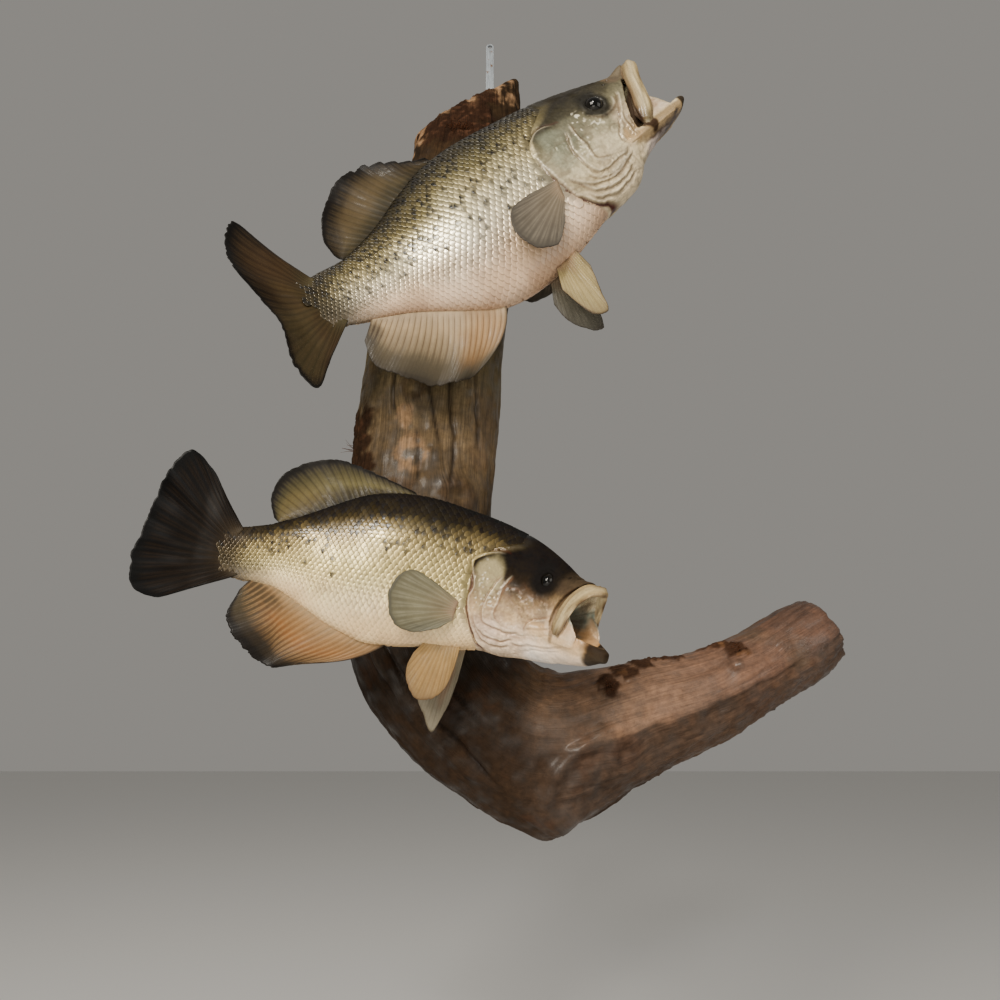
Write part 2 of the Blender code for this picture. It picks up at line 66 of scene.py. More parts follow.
# How both bodies end: the width behind the dorsal fin, the back, the belly, and the root of the tail fin.
HIND_WIDTH = ((205, 22.5), (235, 17.5), (262, 12.5), (290, 9), (312, 6.5), (328, 3.2), (334, 2.4), (348, 1.7))
HIND_BACK = ((328, 20), (336, 20.5), (348, 24))
HIND_BELLY = ((328, -22), (336, -22.5), (348, -26))
CAUDAL_ROOT = ((318, 19, 0), (325, 8, 0), (326, -7, 0), (320, -20, 0))

# crease_shade: share and paint of painted shade in the creases; crest_highlight: painted highlight on their
# edges
# pocket_shade_soft, pocket_shade_strength, pocket_shade_paint, pocket_shade_wrap: painted shade in and round
# the groove
# throat_shade: the painted shade deep in the mouth
# What the values of a fish below stand for:
# backbone: the line of t, in the world; up: the way that h leans, in the world
# back, belly and width: (t, value); eye: t and h of the middle of the glass eye
# scale_pitch: how far scales lie apart along t and across; mark_paint: the dark marks on their edges
# marks: the share of marked scales, as most, levels, how much less, and more over a reach of t and levels
# flank and cheek: paint by level on the body, and by height on the head
# washes: patches of paint on the head, as middle, reach, share and paint; painted_glints: painted highlights,
# middle and reach
# relief: name, kind, height, breadth and line (t, h) of each plate, fold, ridge and groove of the head
# face: the front of the cheeks as (t, h), from the nose down past the corner of the open mouth
# mouth: the hollow, as t, mid height, half height and half width; lining and web: outlines in (t, h)
# upper_jaw: half of its band, as t, h, w of the middle, half its breadth and half its thickness
# lower_jaw: t, top, bottom and half width; keel: t, bottom and half width of the keel under it
# pocket: the groove behind the upper jaw; coat_from: where the scales begin, as (t, h)
# fins: points along the root, then points along the free margin, both from front to back
PECTORAL = (
    ((137, -20, 24.6), (139, -26, 24.2), (141, -33, 23)),
    ((162, -20, 30), (182, -26, 34), (191, -41, 36), (187, -57, 34), (172, -64, 30), (155, -52, 27)),
)
MAIN = SimpleNamespace(
    size=1.0,
    backbone=((139, -104, -147), (98, -102, -186), (45, -100, -233), (-15, -100, -278), (-69, -106, -317),
              (-106, -122, -350), (-136, -165, -384)),
    up=(-0.5, 0, 0.85),
    back=((16, 33), (24, 34.5), (32, 36), (41, 39.5), (55, 45.5), (74, 53), (104, 61), (135, 65), (170, 67),
          (200, 63), (222, 55), (243, 44), (262, 34), (290, 25), (312, 23), *HIND_BACK),
    belly=((16, -16), (35, -27), (52, -32), (65, -37), (72, -43), (80, -48.2), (93, -51.2), (112, -52.5),
           (135, -59), (155, -65), (182, -70), (205, -70), (222, -66), (238, -57), (260, -45), (288, -32),
           (308, -26.5), *HIND_BELLY),
    width=((16, 8), (30, 12.5), (50, 15.5), (67, 17.5), (90, 21), (115, 24), (140, 25.5), (175, 25),
           *HIND_WIDTH),
    eye=(67, 16),
    scale_pitch=(5.0, 3.9),
    mark_paint=(10, 8, 6),
    tail_paint=(56, 49, 35),
    marks=(0.34, (-0.5, 0.1), 0.03, 0.10, (230, 290), (-0.7, -0.2)),
    flank=((-1.0, (176, 146, 122)), (-0.62, (212, 186, 160)), (-0.3, (210, 199, 178)), (0.0, (196, 188, 162)),
           (0.25, (180, 169, 134)), (0.5, (106, 97, 66)), (0.8, (42, 37, 21)), (1.0, (22, 19, 11))),
    cheek=((-46, (216, 200, 170)), (-30, (204, 188, 154)), (-16, (184, 174, 146)), (-2, (156, 150, 126)),
           (12, (112, 107, 86)), (24, (56, 52, 38)), (38, (32, 28, 20))),
    washes=(((30, 30), (12, 9), 0.8, (112, 88, 66)), ((86, -18), (16, 10), 0.5, (218, 206, 176)),
            ((54, -6), (13, 15), 0.75, (196, 178, 150)),
            ((62, -22), (14, 8), 0.7, (190, 152, 104)), ((118, 0), (14, 22), 0.5, (128, 134, 118)),
            ((96, 8), (16, 14), 0.35, (112, 112, 98)), ((85, -30), (22, 9), 0.45, (206, 192, 166))),
    painted_glints=(((80, 4), (16, 8)), ((95, 0), (9, 14)), ((70, -10), (12, 9)), ((98, -22), (10, 7)),
            ((88, 15), (9, 6)), ((60, 0), (8, 8)), ((108, -8), (8, 12)), ((86, -34), (20, 4)),
            ((104, -40), (14, 4))),
    crease_shade=(0.62, (92, 70, 50)),
    crest_highlight=(220, 210, 186),
    eye_ring=(20, 18, 13),
    snout=(84, 77, 64),
    # the dark stop at -1.06 is painted shade in the groove where the keel meets the jaw
    jaw_stops=((-1.7, (196, 184, 184)), (-1.3, (178, 164, 160)), (-1.06, (58, 42, 30)),
               (-0.9, (164, 140, 104)), (-0.5, (146, 125, 95)), (-0.3, (200, 184, 152)),
               (0, (210, 194, 168))),
    tip=(34, 27, 21),
    tip_length=11,
    lip=9,
    tilt=0.10,
    mouth_deep=46,
    palate=((-1.2, (190, 160, 130)), (0, (150, 118, 96)), (1.2, (110, 84, 66))),
    throat_shade=(52, 34, 28),
    web_paint=((-1, (168, 140, 118)), (0.2, (206, 186, 166)), (1, (222, 208, 192))),
    pocket_shade_soft=1.6,
    pocket_shade_strength=0.95,
    pocket_shade_paint=(44, 28, 19),
    pocket_shade_wrap=1.0,
    band_stops=((-1.0, (118, 100, 74)), (-0.6, (176, 162, 128)), (0.0, (208, 199, 172)),
                (0.5, (166, 151, 121)), (0.85, (106, 87, 64)), (1.0, (54, 41, 31))),
    matt_brow=0.1,
    grid=0.64,
    pocket=((31, 21), (38, 11), (45.5, 0.5), (51, -10), (52, -18.5), (45, -25)),
    pocket_width=(0.7, 3.0),
    pocket_depth=5,
    pleat=4.2,
    pleat_height=0.22,
    coat_from=((97, 75), (98, 42), (128, 22), (139, -2), (138, -24), (130, -44), (116, -53), (112, -80)),
    nostrils=((45.6, 27.2), (39, 29.5)),
    relief=(
        ("gill", "plate", 1.25, 13, ((100, -52), (112, -50), (126, -44), (133, -36), (136, -24),
                                     (137.5, -12), (138, -2), (133, 16), (119, 24), (103, 20))),
        ("preopercle", "plate", 0.8, 7, ((73, -26), (79, -28.8), (92, -31), (102.4, -31.4),
                                         (109, -29), (112, -22), (111, -10), (103, 12))),
        ("inner", "ridge", 0.5, 1.1, ((96, 14), (100, 0.5), (101, -12), (101.6, -23), (90, -27))),
        ("inter", "plate", 0.5, 3, ((73, -30.6), (84, -33.6), (101.6, -36.4), (112, -33), (116, -26))),
        ("ray_1", "plate", 0.8, 3.4, ((77, -32), (93, -37.6), (103, -38.6), (117, -35.4), (126.4, -28),
                                      (130.4, -20))),
        ("ray_2", "plate", 0.8, 3.4, ((80, -37.2), (91, -41.3), (102.4, -43), (115, -41), (123.5, -33.5),
                                      (127, -27))),
        ("ray_3", "plate", 0.7, 3.2, ((82, -41.5), (92, -45.2), (104, -46.8), (117, -45), (127, -38))),
        ("cheek", "fold", 0.6, 1.2, ((72, -26), (73.6, -21.7), (64.8, -9.2), (53.6, 3.4), (44, 15.6))),
        ("below_eye", "ridge", 0.25, 1.2, ((50, 14), (55, 7.5), (64, 3.5), (74, 5), (81, 12))),
        ("corner_1", "groove", 0.6, 0.8, ((60, 2), (63.5, -10), (66, -24))),
        ("corner_2", "groove", 0.6, 0.8, ((55.5, -4), (58.5, -14), (62, -25))),
        ("corner_3", "ridge", 0.5, 1.0, ((58, -1), (61.2, -12), (64, -25))),
        ("gular", "fold", 1.0, 1.3, ((30, -28), (42, -30), (56, -33), (70, -39))),
    ),
    face=((6, 60), (13, 40), (21, 29.5), (29, 21), (38, 12.5), (46.5, 1.5), (53.5, -10), (55.5, -19.5),
          (50, -28), (42, -90)),
    nose=(21, 31, 9, 5, 8.5),
    mouth=((-14, 6, 25, 13), (6, 6, 23.5, 12), (20, 3, 20.5, 10.6), (35, -3, 16.5, 10.2), (50, -8, 11, 8),
           (64, -12, 6, 4.5)),
    lining=((17, 60), (14, 30), (25, 16), (33, 3), (30, -6), (22, -21), (16, -60), (90, -60), (90, 60)),
    web=((32, 8), (29, -3), (20.5, -21), (22, -26), (50, -27), (51, -10), (40, 4)),
    web_width=((20, 9.2), (28, 11.2), (36, 12.4), (52, 13)),
    lower_jaw=((3.5, -14.5, -19.5, 2.4), (10, -15.5, -23.5, 6.2), (20, -17, -26, 9.8), (34, -16.5, -27, 12.6),
               (50, -18, -28, 14.4), (62, -19, -29, 15.6)),
    keel=((28, -27, 2), (35, -28, 4.5), (43, -29.6, 7), (55, -34, 9), (64, -37.2, 10.5), (70, -40, 11.5)),
    upper_jaw=((12, 31, 0, 6.2, 5.2), (15.5, 28, 5.5, 6.4, 4.6), (25, 16.5, 10.2, 6.4, 3.6),
               (34, 1.5, 12.6, 6.5, 3.2), (42, -11.5, 14, 6.4, 2.9), (46.5, -18.5, 14, 4.4, 2.4)),
    dorsal=(
        ((184, 64, 0), (222, 54, 0), (262, 33, 0), (286, 24.5, 0)),
        ((190, 71, 0), (203, 77.5, 1), (220, 85.5, -1), (238, 91.5, 1), (253, 88, -1), (268, 76, 1.5),
         (280, 63, -1), (290, 45, 1), (292, 31, 0)),
    ),
    anal=(
        ((214, -66, 0), (240, -54, 0), (270, -39, 0), (304, -26, 0)),
        ((258, -97, 0), (272, -98.5, 1.5), (286, -96.5, -1.5), (301, -89, 1.5), (317, -72, -1.5),
         (325, -55, 1), (319, -37, 0)),
    ),
    caudal=(
        CAUDAL_ROOT,
        ((328, 48, 1), (346, 73, -2), (364, 56, 2), (376, 34, -2), (370, 11, 2.5), (377, -14, -2),
         (386, -41, 2), (385, -58, 1), (360, -45, 0)),
    ),
    near_pectoral=PECTORAL,
    far_pectoral=PECTORAL,
    near_pelvic=(
        ((152, -62, 5), (162, -65, 6), (172, -67, 7)),
        ((152, -79, 7), (160, -101, 9), (167, -116, 10), (173, -114, 10), (178, -99, 10), (180, -84, 9)),
    ),
    far_pelvic=(
        ((156, -62, 4), (166, -65, 5), (176, -67, 6)),
        ((157, -84, 6), (162, -104, 7), (169, -118, 8), (177, -110, 8), (184, -96, 7), (184, -82, 7)),
    ),
)
SECOND = SimpleNamespace(
    size=0.745,
    backbone=((67, -134, -567), (46, -112, -555), (10, -99, -540), (-35, -97, -528), (-88, -99, -521),
              (-124, -104, -517), (-153, -114, -518), (-189, -134, -514)),
    up=(0, 0, 1),
    back=((16, 24), (24, 28), (37, 32), (50, 37.5), (80, 49), (115, 57.5), (149, 62), (173, 65), (197, 65),
          (230, 58), (254, 46), (275, 33.5), (295, 24.5), (313, 21.5), *HIND_BACK),
    belly=((16, -29), (35, -40.5), (50, -44), (65, -47), (80, -51), (100, -52), (121, -57), (153, -62),
           (185, -66), (207, -66.5), (233, -58), (262, -44), (294, -30), (313, -25.5), *HIND_BELLY),
    width=((16, 13), (24, 17), (35, 19.5), (50, 20.5), (67, 20.5), (90, 22.5), (115, 24.5), (140, 25.5),
           (175, 25), *HIND_WIDTH),
    eye=(58, 18.5),
    scale_pitch=(5.4, 4.2),
    mark_paint=(16, 12, 8),
    tail_paint=(52, 43, 31),
    marks=(0.32, (0.12, 0.5), 0.04, 0.14, (220, 290), (-0.4, 0.1)),
    flank=((-1.0, (220, 189, 148)), (-0.65, (226, 201, 158)), (-0.3, (211, 194, 144)), (0.0, (194, 177, 124)),
           (0.25, (178, 161, 114)), (0.48, (104, 90, 56)), (0.72, (35, 28, 10)), (1.0, (10, 8, 2))),
    cheek=((-46, (222, 200, 176)), (-30, (212, 186, 158)), (-18, (190, 162, 128)), (-8, (150, 126, 94)),
           (1, (84, 68, 49)), (9, (42, 33, 24)), (24, (20, 15, 10))),
    washes=(((34, 20), (14, 7), 0.6, (70, 58, 46)), ((52, -10), (12, 7), 0.5, (196, 168, 136)),
            ((108, 2), (14, 24), 0.75, (176, 164, 128)), ((66, -32), (26, 11), 0.6, (222, 198, 176)),
            ((98, -36), (16, 10), 0.6, (222, 196, 180)), ((46, -3), (10, 9), 0.6, (122, 108, 92)),
            ((40, -14), (9, 6), 0.5, (176, 156, 130))),
    painted_glints=(((112, 6), (9, 14)), ((98, -14), (10, 12)), ((112, -16), (7, 9)), ((68, -4), (12, 6)),
            ((58, -26), (24, 5))),
    crease_shade=(0.6, (120, 88, 66)),
    crest_highlight=(226, 212, 190),
    eye_ring=(15, 12, 9),
    snout=(64, 53, 40),
    jaw_stops=((-1.6, (224, 214, 208)), (-1.2, (226, 206, 188)), (-0.85, (214, 186, 152)),
               (-0.45, (196, 160, 118)), (-0.2, (160, 124, 86)), (0, (188, 152, 112))),
    tip=(16, 12, 10),
    tip_length=19,
    lip=15,
    tilt=0.55,
    mouth_deep=40,
    palate=((-1.2, (164, 126, 88)), (-0.75, (176, 140, 102)), (-0.45, (140, 136, 122)),
            (0.1, (128, 144, 138)), (0.5, (200, 190, 166)), (1.2, (176, 158, 128))),
    throat_shade=(96, 110, 106),
    web_paint=((-1, (204, 172, 138)), (0.2, (216, 190, 160)), (1, (222, 202, 176))),
    pocket_shade_soft=0.9,
    pocket_shade_strength=0.6,
    pocket_shade_paint=(72, 54, 40),
    pocket_shade_wrap=0.3,
    band_stops=((-1.0, (100, 80, 60)), (-0.75, (172, 155, 124)), (-0.2, (198, 186, 156)),
                (0.35, (160, 143, 114)), (0.7, (182, 166, 134)), (1.0, (96, 74, 54))),
    matt_brow=0.44,
    grid=0.8,
    pocket=((25, 23), (31, 12), (36, 0), (37, -9), (34, -16)),
    pocket_width=(0.8, 1.3),
    pocket_depth=3,
    pleat=4.6,
    pleat_height=0.42,
    coat_from=((90, 75), (92, 42), (114, 28), (126, 14), (124, -6), (122, -24), (112, -40), (104, -50),
               (100, -80)),
    nostrils=((38, 28.5), (32, 30)),
    relief=(
        ("gill", "plate", 1.3, 12, ((92, -51), (104, -45), (113, -34), (119, -23), (121, -13), (120, -5),
                                    (124, 5), (128, 14), (123, 21), (112, 27), (98, 29))),
        ("preopercle", "plate", 0.8, 7, ((65, -26), (71, -28.8), (84, -31), (94, -31.4), (101, -29),
                                         (104, -22), (103, -10), (95, 12))),
        ("inner", "ridge", 0.5, 1.1, ((88, 14), (92, 0.5), (93, -12), (93.6, -23), (82, -27))),
        ("ray_1", "plate", 0.8, 3.4, ((69, -34), (84, -38.6), (95, -38.6), (107, -34), (113, -26))),
        ("ray_2", "plate", 0.8, 3.4, ((72, -40), (84, -43.3), (94, -43.5), (104, -39), (110, -33))),
        ("cheek", "fold", 0.7, 1.2, ((62, -26), (62, -20), (51.2, -11.6), (42, -7), (34.4, -4.3))),
        ("corner_1", "fold", 0.6, 1.0, ((34, -12), (44, -17), (53, -20), (62, -22))),
        ("corner_2", "groove", 0.8, 0.8, ((30, -17), (44, -23), (60, -28), (80, -33))),
        ("corner_3", "fold", 0.7, 1.1, ((14, -21), (34, -28), (54, -33), (74, -39))),
        ("corner_4", "groove", 0.7, 0.8, ((6, -22), (24, -28.5), (44, -34), (64, -41))),
    ),
    face=((12, 60), (17, 34), (22, 25), (30, 12), (35, 0), (37, -9), (36, -20), (34, -90)),
    nose=(20, 26, 9, 4, 9),
    mouth=((-20, 8, 20, 15), (4, 4.5, 21.5, 14.5), (18, 0, 21, 15), (30, -4, 15, 13), (40, -7, 8, 8)),
    lining=((14, 60), (11, 24), (18, 13), (23, 1), (22, -8), (14, -12), (6, -60), (90, -60), (90, 60)),
    web=((26, 6), (16, -4), (10, -12), (12, -22), (44, -24), (44, 0), (32, 6)),
    web_width=((10, 13), (18, 15.2), (28, 16.2), (44, 15.5)),
    lower_jaw=((-12.5, -17, -25, 3), (0, -12.5, -28, 8.5), (10, -8, -28.5, 12), (20, -3, -28.5, 14.8),
               (32, -2, -28, 17.2), (48, -6, -27.5, 18.2), (62, -9, -27.5, 18.4)),
    keel=((-7, -26.5, 4), (3, -31.5, 8), (23, -37, 12), (38, -40.5, 14), (50, -43.5, 15), (64, -46, 16)),
    upper_jaw=((8.5, 25, 0, 5.2, 4.4), (13.5, 24, 7, 6.6, 3.4), (20.5, 14.5, 14, 7.0, 2.7),
               (25.4, 2, 17.5, 7.2, 2.3), (27.6, -8.5, 18.6, 6.8, 2.1), (29, -14, 18.4, 5, 1.9)),
    dorsal=(
        ((180, 62, 0), (222, 57, 0), (262, 39, 0), (288, 24, 0)),
        ((186, 68, 0), (212, 78, -1), (238, 86, 1), (260, 88, -1), (277, 82, 1.5), (290, 67, -1),
         (297, 48, 1), (294, 30, 0)),
    ),
    anal=(
        ((184, -62, 0), (226, -56, 0), (270, -38, 0), (310, -22, 0)),
        ((256, -88, 0), (272, -93, 1.5), (288, -94, -1.5), (305, -88, 1.5), (318, -72, -1.5),
         (324, -52, 1), (318, -32, 0)),
    ),
    caudal=(
        CAUDAL_ROOT,
        ((336, 42, 1), (358, 67, -1), (374, 76, -1), (386, 60, 2), (391, 32, -2), (395, 3, 2),
         (398, -24, -2), (392, -42, 1), (376, -48, 1), (352, -36, 0)),
    ),
    near_pectoral=(
        ((128, -22, 24.6), (129, -29, 24.2), (129, -37, 23)),
        ((152, -12, 29), (172, -6, 31), (184, -14, 32), (188, -34, 32), (180, -50, 31), (162, -54, 28),
         (140, -47, 25)),
    ),
    far_pectoral=(
        ((128, -22, 24.6), (129, -29, 24.2), (129, -37, 23)),
        ((152, -12, 25), (172, -8, 25), (184, -14, 25), (188, -34, 24.5), (180, -50, 24), (162, -54, 23),
         (140, -47, 23)),
    ),
    near_pelvic=(
        ((118, -50, 5), (134, -53, 6), (150, -56, 7)),
        ((117, -72, 8), (120, -90, 11), (130, -100, 12), (144, -103, 12), (156, -94, 11), (161, -80, 10),
         (158, -68, 9)),
    ),
    far_pelvic=(
        ((114, -49, 4), (124, -52, 5), (136, -54, 6)),
        ((113, -80, 6), (116, -106, 7), (124, -125, 8), (134, -115, 8), (148, -99, 7), (146, -80, 7)),
    ),
)


# ---- curves and vectors ----
def along(stations, t):
    """The smooth curve through (t, value, ...) stations, read at t."""
    table = np.array(stations, float)
    x, y = table[:, 0], table[:, 1:]
    slope = np.gradient(y, x, axis=0)
    t = np.clip(np.atleast_1d(np.asarray(t, float)), x[0], x[-1])
    i = np.clip(np.searchsorted(x, t, side="right") - 1, 0, len(x) - 2)
    step = (x[i + 1] - x[i])[:, None]
    u = ((t - x[i]) / step[:, 0])[:, None]
    value = (
        (2 * u**3 - 3 * u**2 + 1) * y[i]
        + (u**3 - 2 * u**2 + u) * step * slope[i]
        + (3 * u**2 - 2 * u**3) * y[i + 1]
        + (u**3 - u**2) * step * slope[i + 1]
    )
    return value[:, 0] if y.shape[1] == 1 else value


def smooth_line(points, count):
    """count points, evenly spaced, on the smooth curve through the given ones."""
    points = np.array(points, float)
    chord = np.r_[0, np.cumsum(np.linalg.norm(np.diff(points, axis=0), axis=1))]
    return along(np.c_[chord, points], np.linspace(0, chord[-1], count))


def unit(vectors):
    return vectors / np.maximum(np.linalg.norm(vectors, axis=-1, keepdims=True), 1e-9)


def ease(value, low, high):
    """0 below low, 1 above high and smooth between; low may be the larger one."""
    u = np.clip((value - low) / (high - low), 0, 1)
    return u * u * (3 - 2 * u)


def mix(first, second, share):
    return first + (second - first) * share


def soft_min(a, b, blend):
    h = np.clip(0.5 + 0.5 * (b - a) / blend, 0, 1)
    return b + (a - b) * h - blend * h * (1 - h)


def soft_max(a, b, blend):
    return -soft_min(-a, -b, blend)


def bump(distance, width):
    return np.exp(-((distance / width) ** 2))


class Backbone:
    """Lays (t, h, w) points along a fish's backbone in the world."""

    def __init__(self, fish):
        self.size = fish.size
        self.line = smooth_line(fish.backbone, 200)
        self.at = np.r_[0, np.cumsum(np.linalg.norm(np.diff(self.line, axis=0), axis=1))]
        self.back = unit(np.gradient(self.line, self.at, axis=0))
        up = unit(np.array(fish.up, float))
        self.up = unit(up - (self.back @ up)[:, None] * self.back)
        self.left = np.cross(self.back, self.up)

    def read(self, table, t):
        return np.stack([np.interp(t, self.at, table[:, k]) for k in range(3)], axis=-1)

    def place(self, points):
        t, h, w = np.moveaxis(np.asarray(points, float) * self.size, -1, 0)
        on = np.clip(t, 0, self.at[-1])
        return (
            self.read(self.line, on)
            + self.read(self.back, on) * (t - on)[..., None]
            + self.read(self.up, on) * h[..., None]
            + self.read(self.left, on) * w[..., None]
        )


# ---- noise that is the same each run ----
def lattice(x, y, z, seed):
    """A number from -1 to 1 for each whole-number point."""
    mixed = x * 374761393 + y * 668265263 + z * 1440662683 + seed * 1013904223
    mixed = (mixed ^ (mixed >> 13)) * 1274126177
    return ((mixed ^ (mixed >> 16)) & 0xFFFF) / 32767.5 - 1


def noise(points, seed):
    """Smooth noise from about -1 to 1 at (n, 2) or (n, 3) points, one lump to a unit."""
    points = np.asarray(points, float)
    if points.shape[-1] == 2:
        points = np.concatenate([points, np.zeros_like(points[..., :1])], axis=-1)
    cell = np.floor(points).astype(np.int64)
    u = points - cell
    u = u * u * (3 - 2 * u)
    total = 0
    for corner in range(8):
        offset = np.array((corner & 1, corner >> 1 & 1, corner >> 2 & 1))
        share = np.where(offset, u, 1 - u).prod(axis=-1)
        total = total + share * lattice(*np.moveaxis(cell + offset, -1, 0), seed)
    return total


def rough_noise(points, octaves, seed):
    """Noise with finer and weaker noise over it."""
    total = 0
    for octave in range(octaves):
        total = total + noise(points * 2**octave, seed + octave) / 2**octave
    return total


def noise_at(seed, *parts):
    """Noise at points given as their coordinates, each an array or one number."""
    return noise(np.stack(np.broadcast_arrays(*parts), axis=-1), seed)


def rough_at(octaves, seed, *parts):
    return rough_noise(np.stack(np.broadcast_arrays(*parts), axis=-1), octaves, seed)


def shaken(flat, far, lump, seed):
    """Flat points moved up to about far each way, in lumps of the given size."""
    return flat + far * np.stack([noise(flat / lump, seed), noise(flat / lump, seed + 1)], axis=-1)


# ---- meshes ----
def mesh_object(name, points, faces, surface, colour, extra, patches=None):
    """A piece from points in millimetres and faces of one size. It rides on the one body.

    colour is the tint of each point, extra the other values that its surface reads, and patches its places
    in a texture.
    """
    mesh = bpy.data.meshes.new(name)
    count, corners = faces.shape
    mesh.vertices.add(len(points))
    mesh.vertices.foreach_set("co", (points * MM).astype(np.float32).ravel())
    mesh.loops.add(count * corners)
    mesh.loops.foreach_set("vertex_index", faces.astype(np.int32).ravel())
    mesh.polygons.add(count)
    mesh.polygons.foreach_set("loop_start", np.arange(0, count * corners, corners, dtype=np.int32))
    mesh.polygons.foreach_set("use_smooth", np.ones(count, bool))
    mesh.update(calc_edges=True)
    mesh.validate()
    tint = mesh.attributes.new("tint", "FLOAT_COLOR", "POINT")
    rgba = np.ones((len(points), 4), np.float32)
    rgba[:, :3] = colour * AMBER
    tint.data.foreach_set("color", rgba.ravel())
    for key, value in extra.items():
        form, field = ("FLOAT", "value") if value.ndim == 1 else ("FLOAT_VECTOR", "vector")
        made = mesh.attributes.new(key, form, "POINT")
        made.data.foreach_set(field, value.astype(np.float32).ravel())
    if patches is not None:
        layer = mesh.uv_layers.new(name="OFBake")
        layer.data.foreach_set("uv", patches[faces.ravel()].astype(np.float32).ravel())
    mesh.materials.append(surface)
    obj = bpy.data.objects.new(name, mesh)
    bpy.context.scene.collection.objects.link(obj)
    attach(obj, "root")
    return obj


def linear(red, green, blue):
    """A colour of 0 to 255 as the eye reads it, made linear."""
    value = np.array((red, green, blue)) / 255
    return np.where(value <= 0.04045, value / 12.92, ((value + 0.055) / 1.055) ** 2.4)


def rails(low, high, fine_to, fine, coarse):
    """Grid positions, fine apart up to fine_to and growing to coarse beyond."""
    found = [low]
    step = fine
    while found[-1] < high:
        if found[-1] > fine_to:
            step = min(step * 1.04, coarse)
        found.append(found[-1] + step)
    return np.array(found)


def outward_normals(points, quads):
    turn = np.cross(points[quads[:, 2]] - points[quads[:, 0]], points[quads[:, 3]] - points[quads[:, 1]])
    normal = np.zeros_like(points)
    for corner in range(4):
        for axis in range(3):
            normal[:, axis] += np.bincount(quads[:, corner], turn[:, axis], len(points))
    return unit(normal)


def surface_net(field, axes):
    """Points, quads and normals of the surface where the field on a grid is 0. It is negative inside."""
    inside = field < 0
    count = np.zeros(np.array(field.shape) - 1, np.uint8)
    corners = [(i, j, k) for i in (0, 1) for j in (0, 1) for k in (0, 1)]
    for i, j, k in corners:
        count += inside[i:i + count.shape[0], j:j + count.shape[1], k:k + count.shape[2]]
    cells = np.argwhere((count > 0) & (count < 8))
    index = np.full(count.shape, -1, np.int64)
    index[tuple(cells.T)] = np.arange(len(cells))
    values = {c: field[tuple((cells + c).T)].astype(float) for c in corners}
    total = np.zeros((len(cells), 3))
    hits = np.zeros(len(cells))
    for start in corners:
        for axis in range(3):
            if start[axis]:
                continue
            end = tuple(1 if a == axis else start[a] for a in range(3))
            a, b = values[start], values[end]
            crossed = (a < 0) != (b < 0)
            at = np.zeros((len(cells), 3)) + start
            at[:, axis] = np.where(crossed, a / np.where(crossed, a - b, 1), 0)
            total += np.where(crossed[:, None], at, 0)
            hits += crossed
    local = cells + total / hits[:, None]
    points = np.stack([np.interp(local[:, a], np.arange(len(axes[a])), axes[a]) for a in range(3)], axis=-1)
    quads = []
    for axis in range(3):
        one, two = [a for a in range(3) if a != axis]
        low = [slice(1, -1)] * 3
        low[axis] = slice(0, -1)
        high = list(low)
        high[axis] = slice(1, None)
        for outward, first, second in ((True, inside[tuple(low)], inside[tuple(high)]),
                                       (False, inside[tuple(high)], inside[tuple(low)])):
            edge = np.argwhere(first & ~second)
            edge[:, one] += 1
            edge[:, two] += 1
            around = []
            for shift_one, shift_two in ((-1, -1), (0, -1), (0, 0), (-1, 0)):
                cell = edge.copy()
                cell[:, one] += shift_one
                cell[:, two] += shift_two
                around.append(index[tuple(cell.T)])
            quad = np.stack(around, axis=-1)
            if outward == (axis == 1):
                quad = quad[:, ::-1]
            quads.append(quad)
    quads = np.concatenate(quads)
    return points, quads, outward_normals(points, quads)


# ---- the forms of a fish, in (t, h, w) ----
def section(fish, t):
    """Middle height, rise above it, drop below it and half width of the body at each t."""
    t = np.asarray(t, float)
    middle = along(WIDEST, t)
    return middle, along(fish.back, t) - middle, middle - along(fish.belly, t), along(fish.width, t)


def body_distance(fish, t, h, w):
    """Distance to the body's surface, true near it. t is (n,), (n, 1, 1) or like h and w."""
    shape = np.shape(t)
    middle, above, below, width = (part.reshape(shape) for part in section(fish, np.ravel(t)))
    rise = h - middle
    span = np.where(rise > 0, above, below)
    power = 2 / np.where(rise > 0, BACK_SHARPNESS, BELLY_SHARPNESS)
    x, y = rise / span, np.abs(w) / width + 1e-4
    slope = np.sqrt((2 * x / span) ** 2 + (power * y ** (power - 1) / width) ** 2) + 0.012
    return np.clip((x**2 + y**power - 1) / slope, -FAR, FAR)


def oval_distance(x, y, half_x, half_y, power=2.0):
    """Distance to an oval about (0, 0), true near it. A greater power makes it squarer."""
    a, b = np.abs(x) / half_x + 1e-6, np.abs(y) / half_y + 1e-6
    q = (a**power + b**power) ** (1 / power)
    lean_a, lean_b = (a / q) ** (power - 1) / half_x, (b / q) ** (power - 1) / half_y
    return np.clip((q - 1) / np.sqrt(lean_a**2 + lean_b**2), -FAR, FAR)


def to_stretch(points, start, end):
    """How far along a straight stretch each point's nearest place is, and the gap from there to the point."""
    run = end - start
    u = np.clip(((points - start) @ run) / (run @ run), 0, 1)
    return u, points - start - u[:, None] * run


def line_distance(points, line):
    """Distance to a polyline in (t, h), which side of it, and how far along it, for (n, 2) points."""
    distance = np.full(len(points), 99.0)
    side = np.zeros(len(points))
    share = np.zeros(len(points))
    low, high = line.min(axis=0) - 16, line.max(axis=0) + 16
    near = np.flatnonzero(((points > low) & (points < high)).all(axis=1))
    if not len(near):
        return distance, side, share
    p = points[near]
    best = np.full(len(p), 99.0)
    best_side = np.zeros(len(p))
    best_share = np.zeros(len(p))
    for i, (start, end) in enumerate(zip(line, line[1:])):
        run = end - start
        u, gap = to_stretch(p, start, end)
        d = np.linalg.norm(gap, axis=1)
        closer = d < best
        best[closer] = d[closer]
        best_side[closer] = np.sign(run[0] * gap[closer, 1] - run[1] * gap[closer, 0])
        best_share[closer] = (i + u[closer]) / (len(line) - 1)
    distance[near], side[near], share[near] = best, best_side, best_share
    return distance, side, share


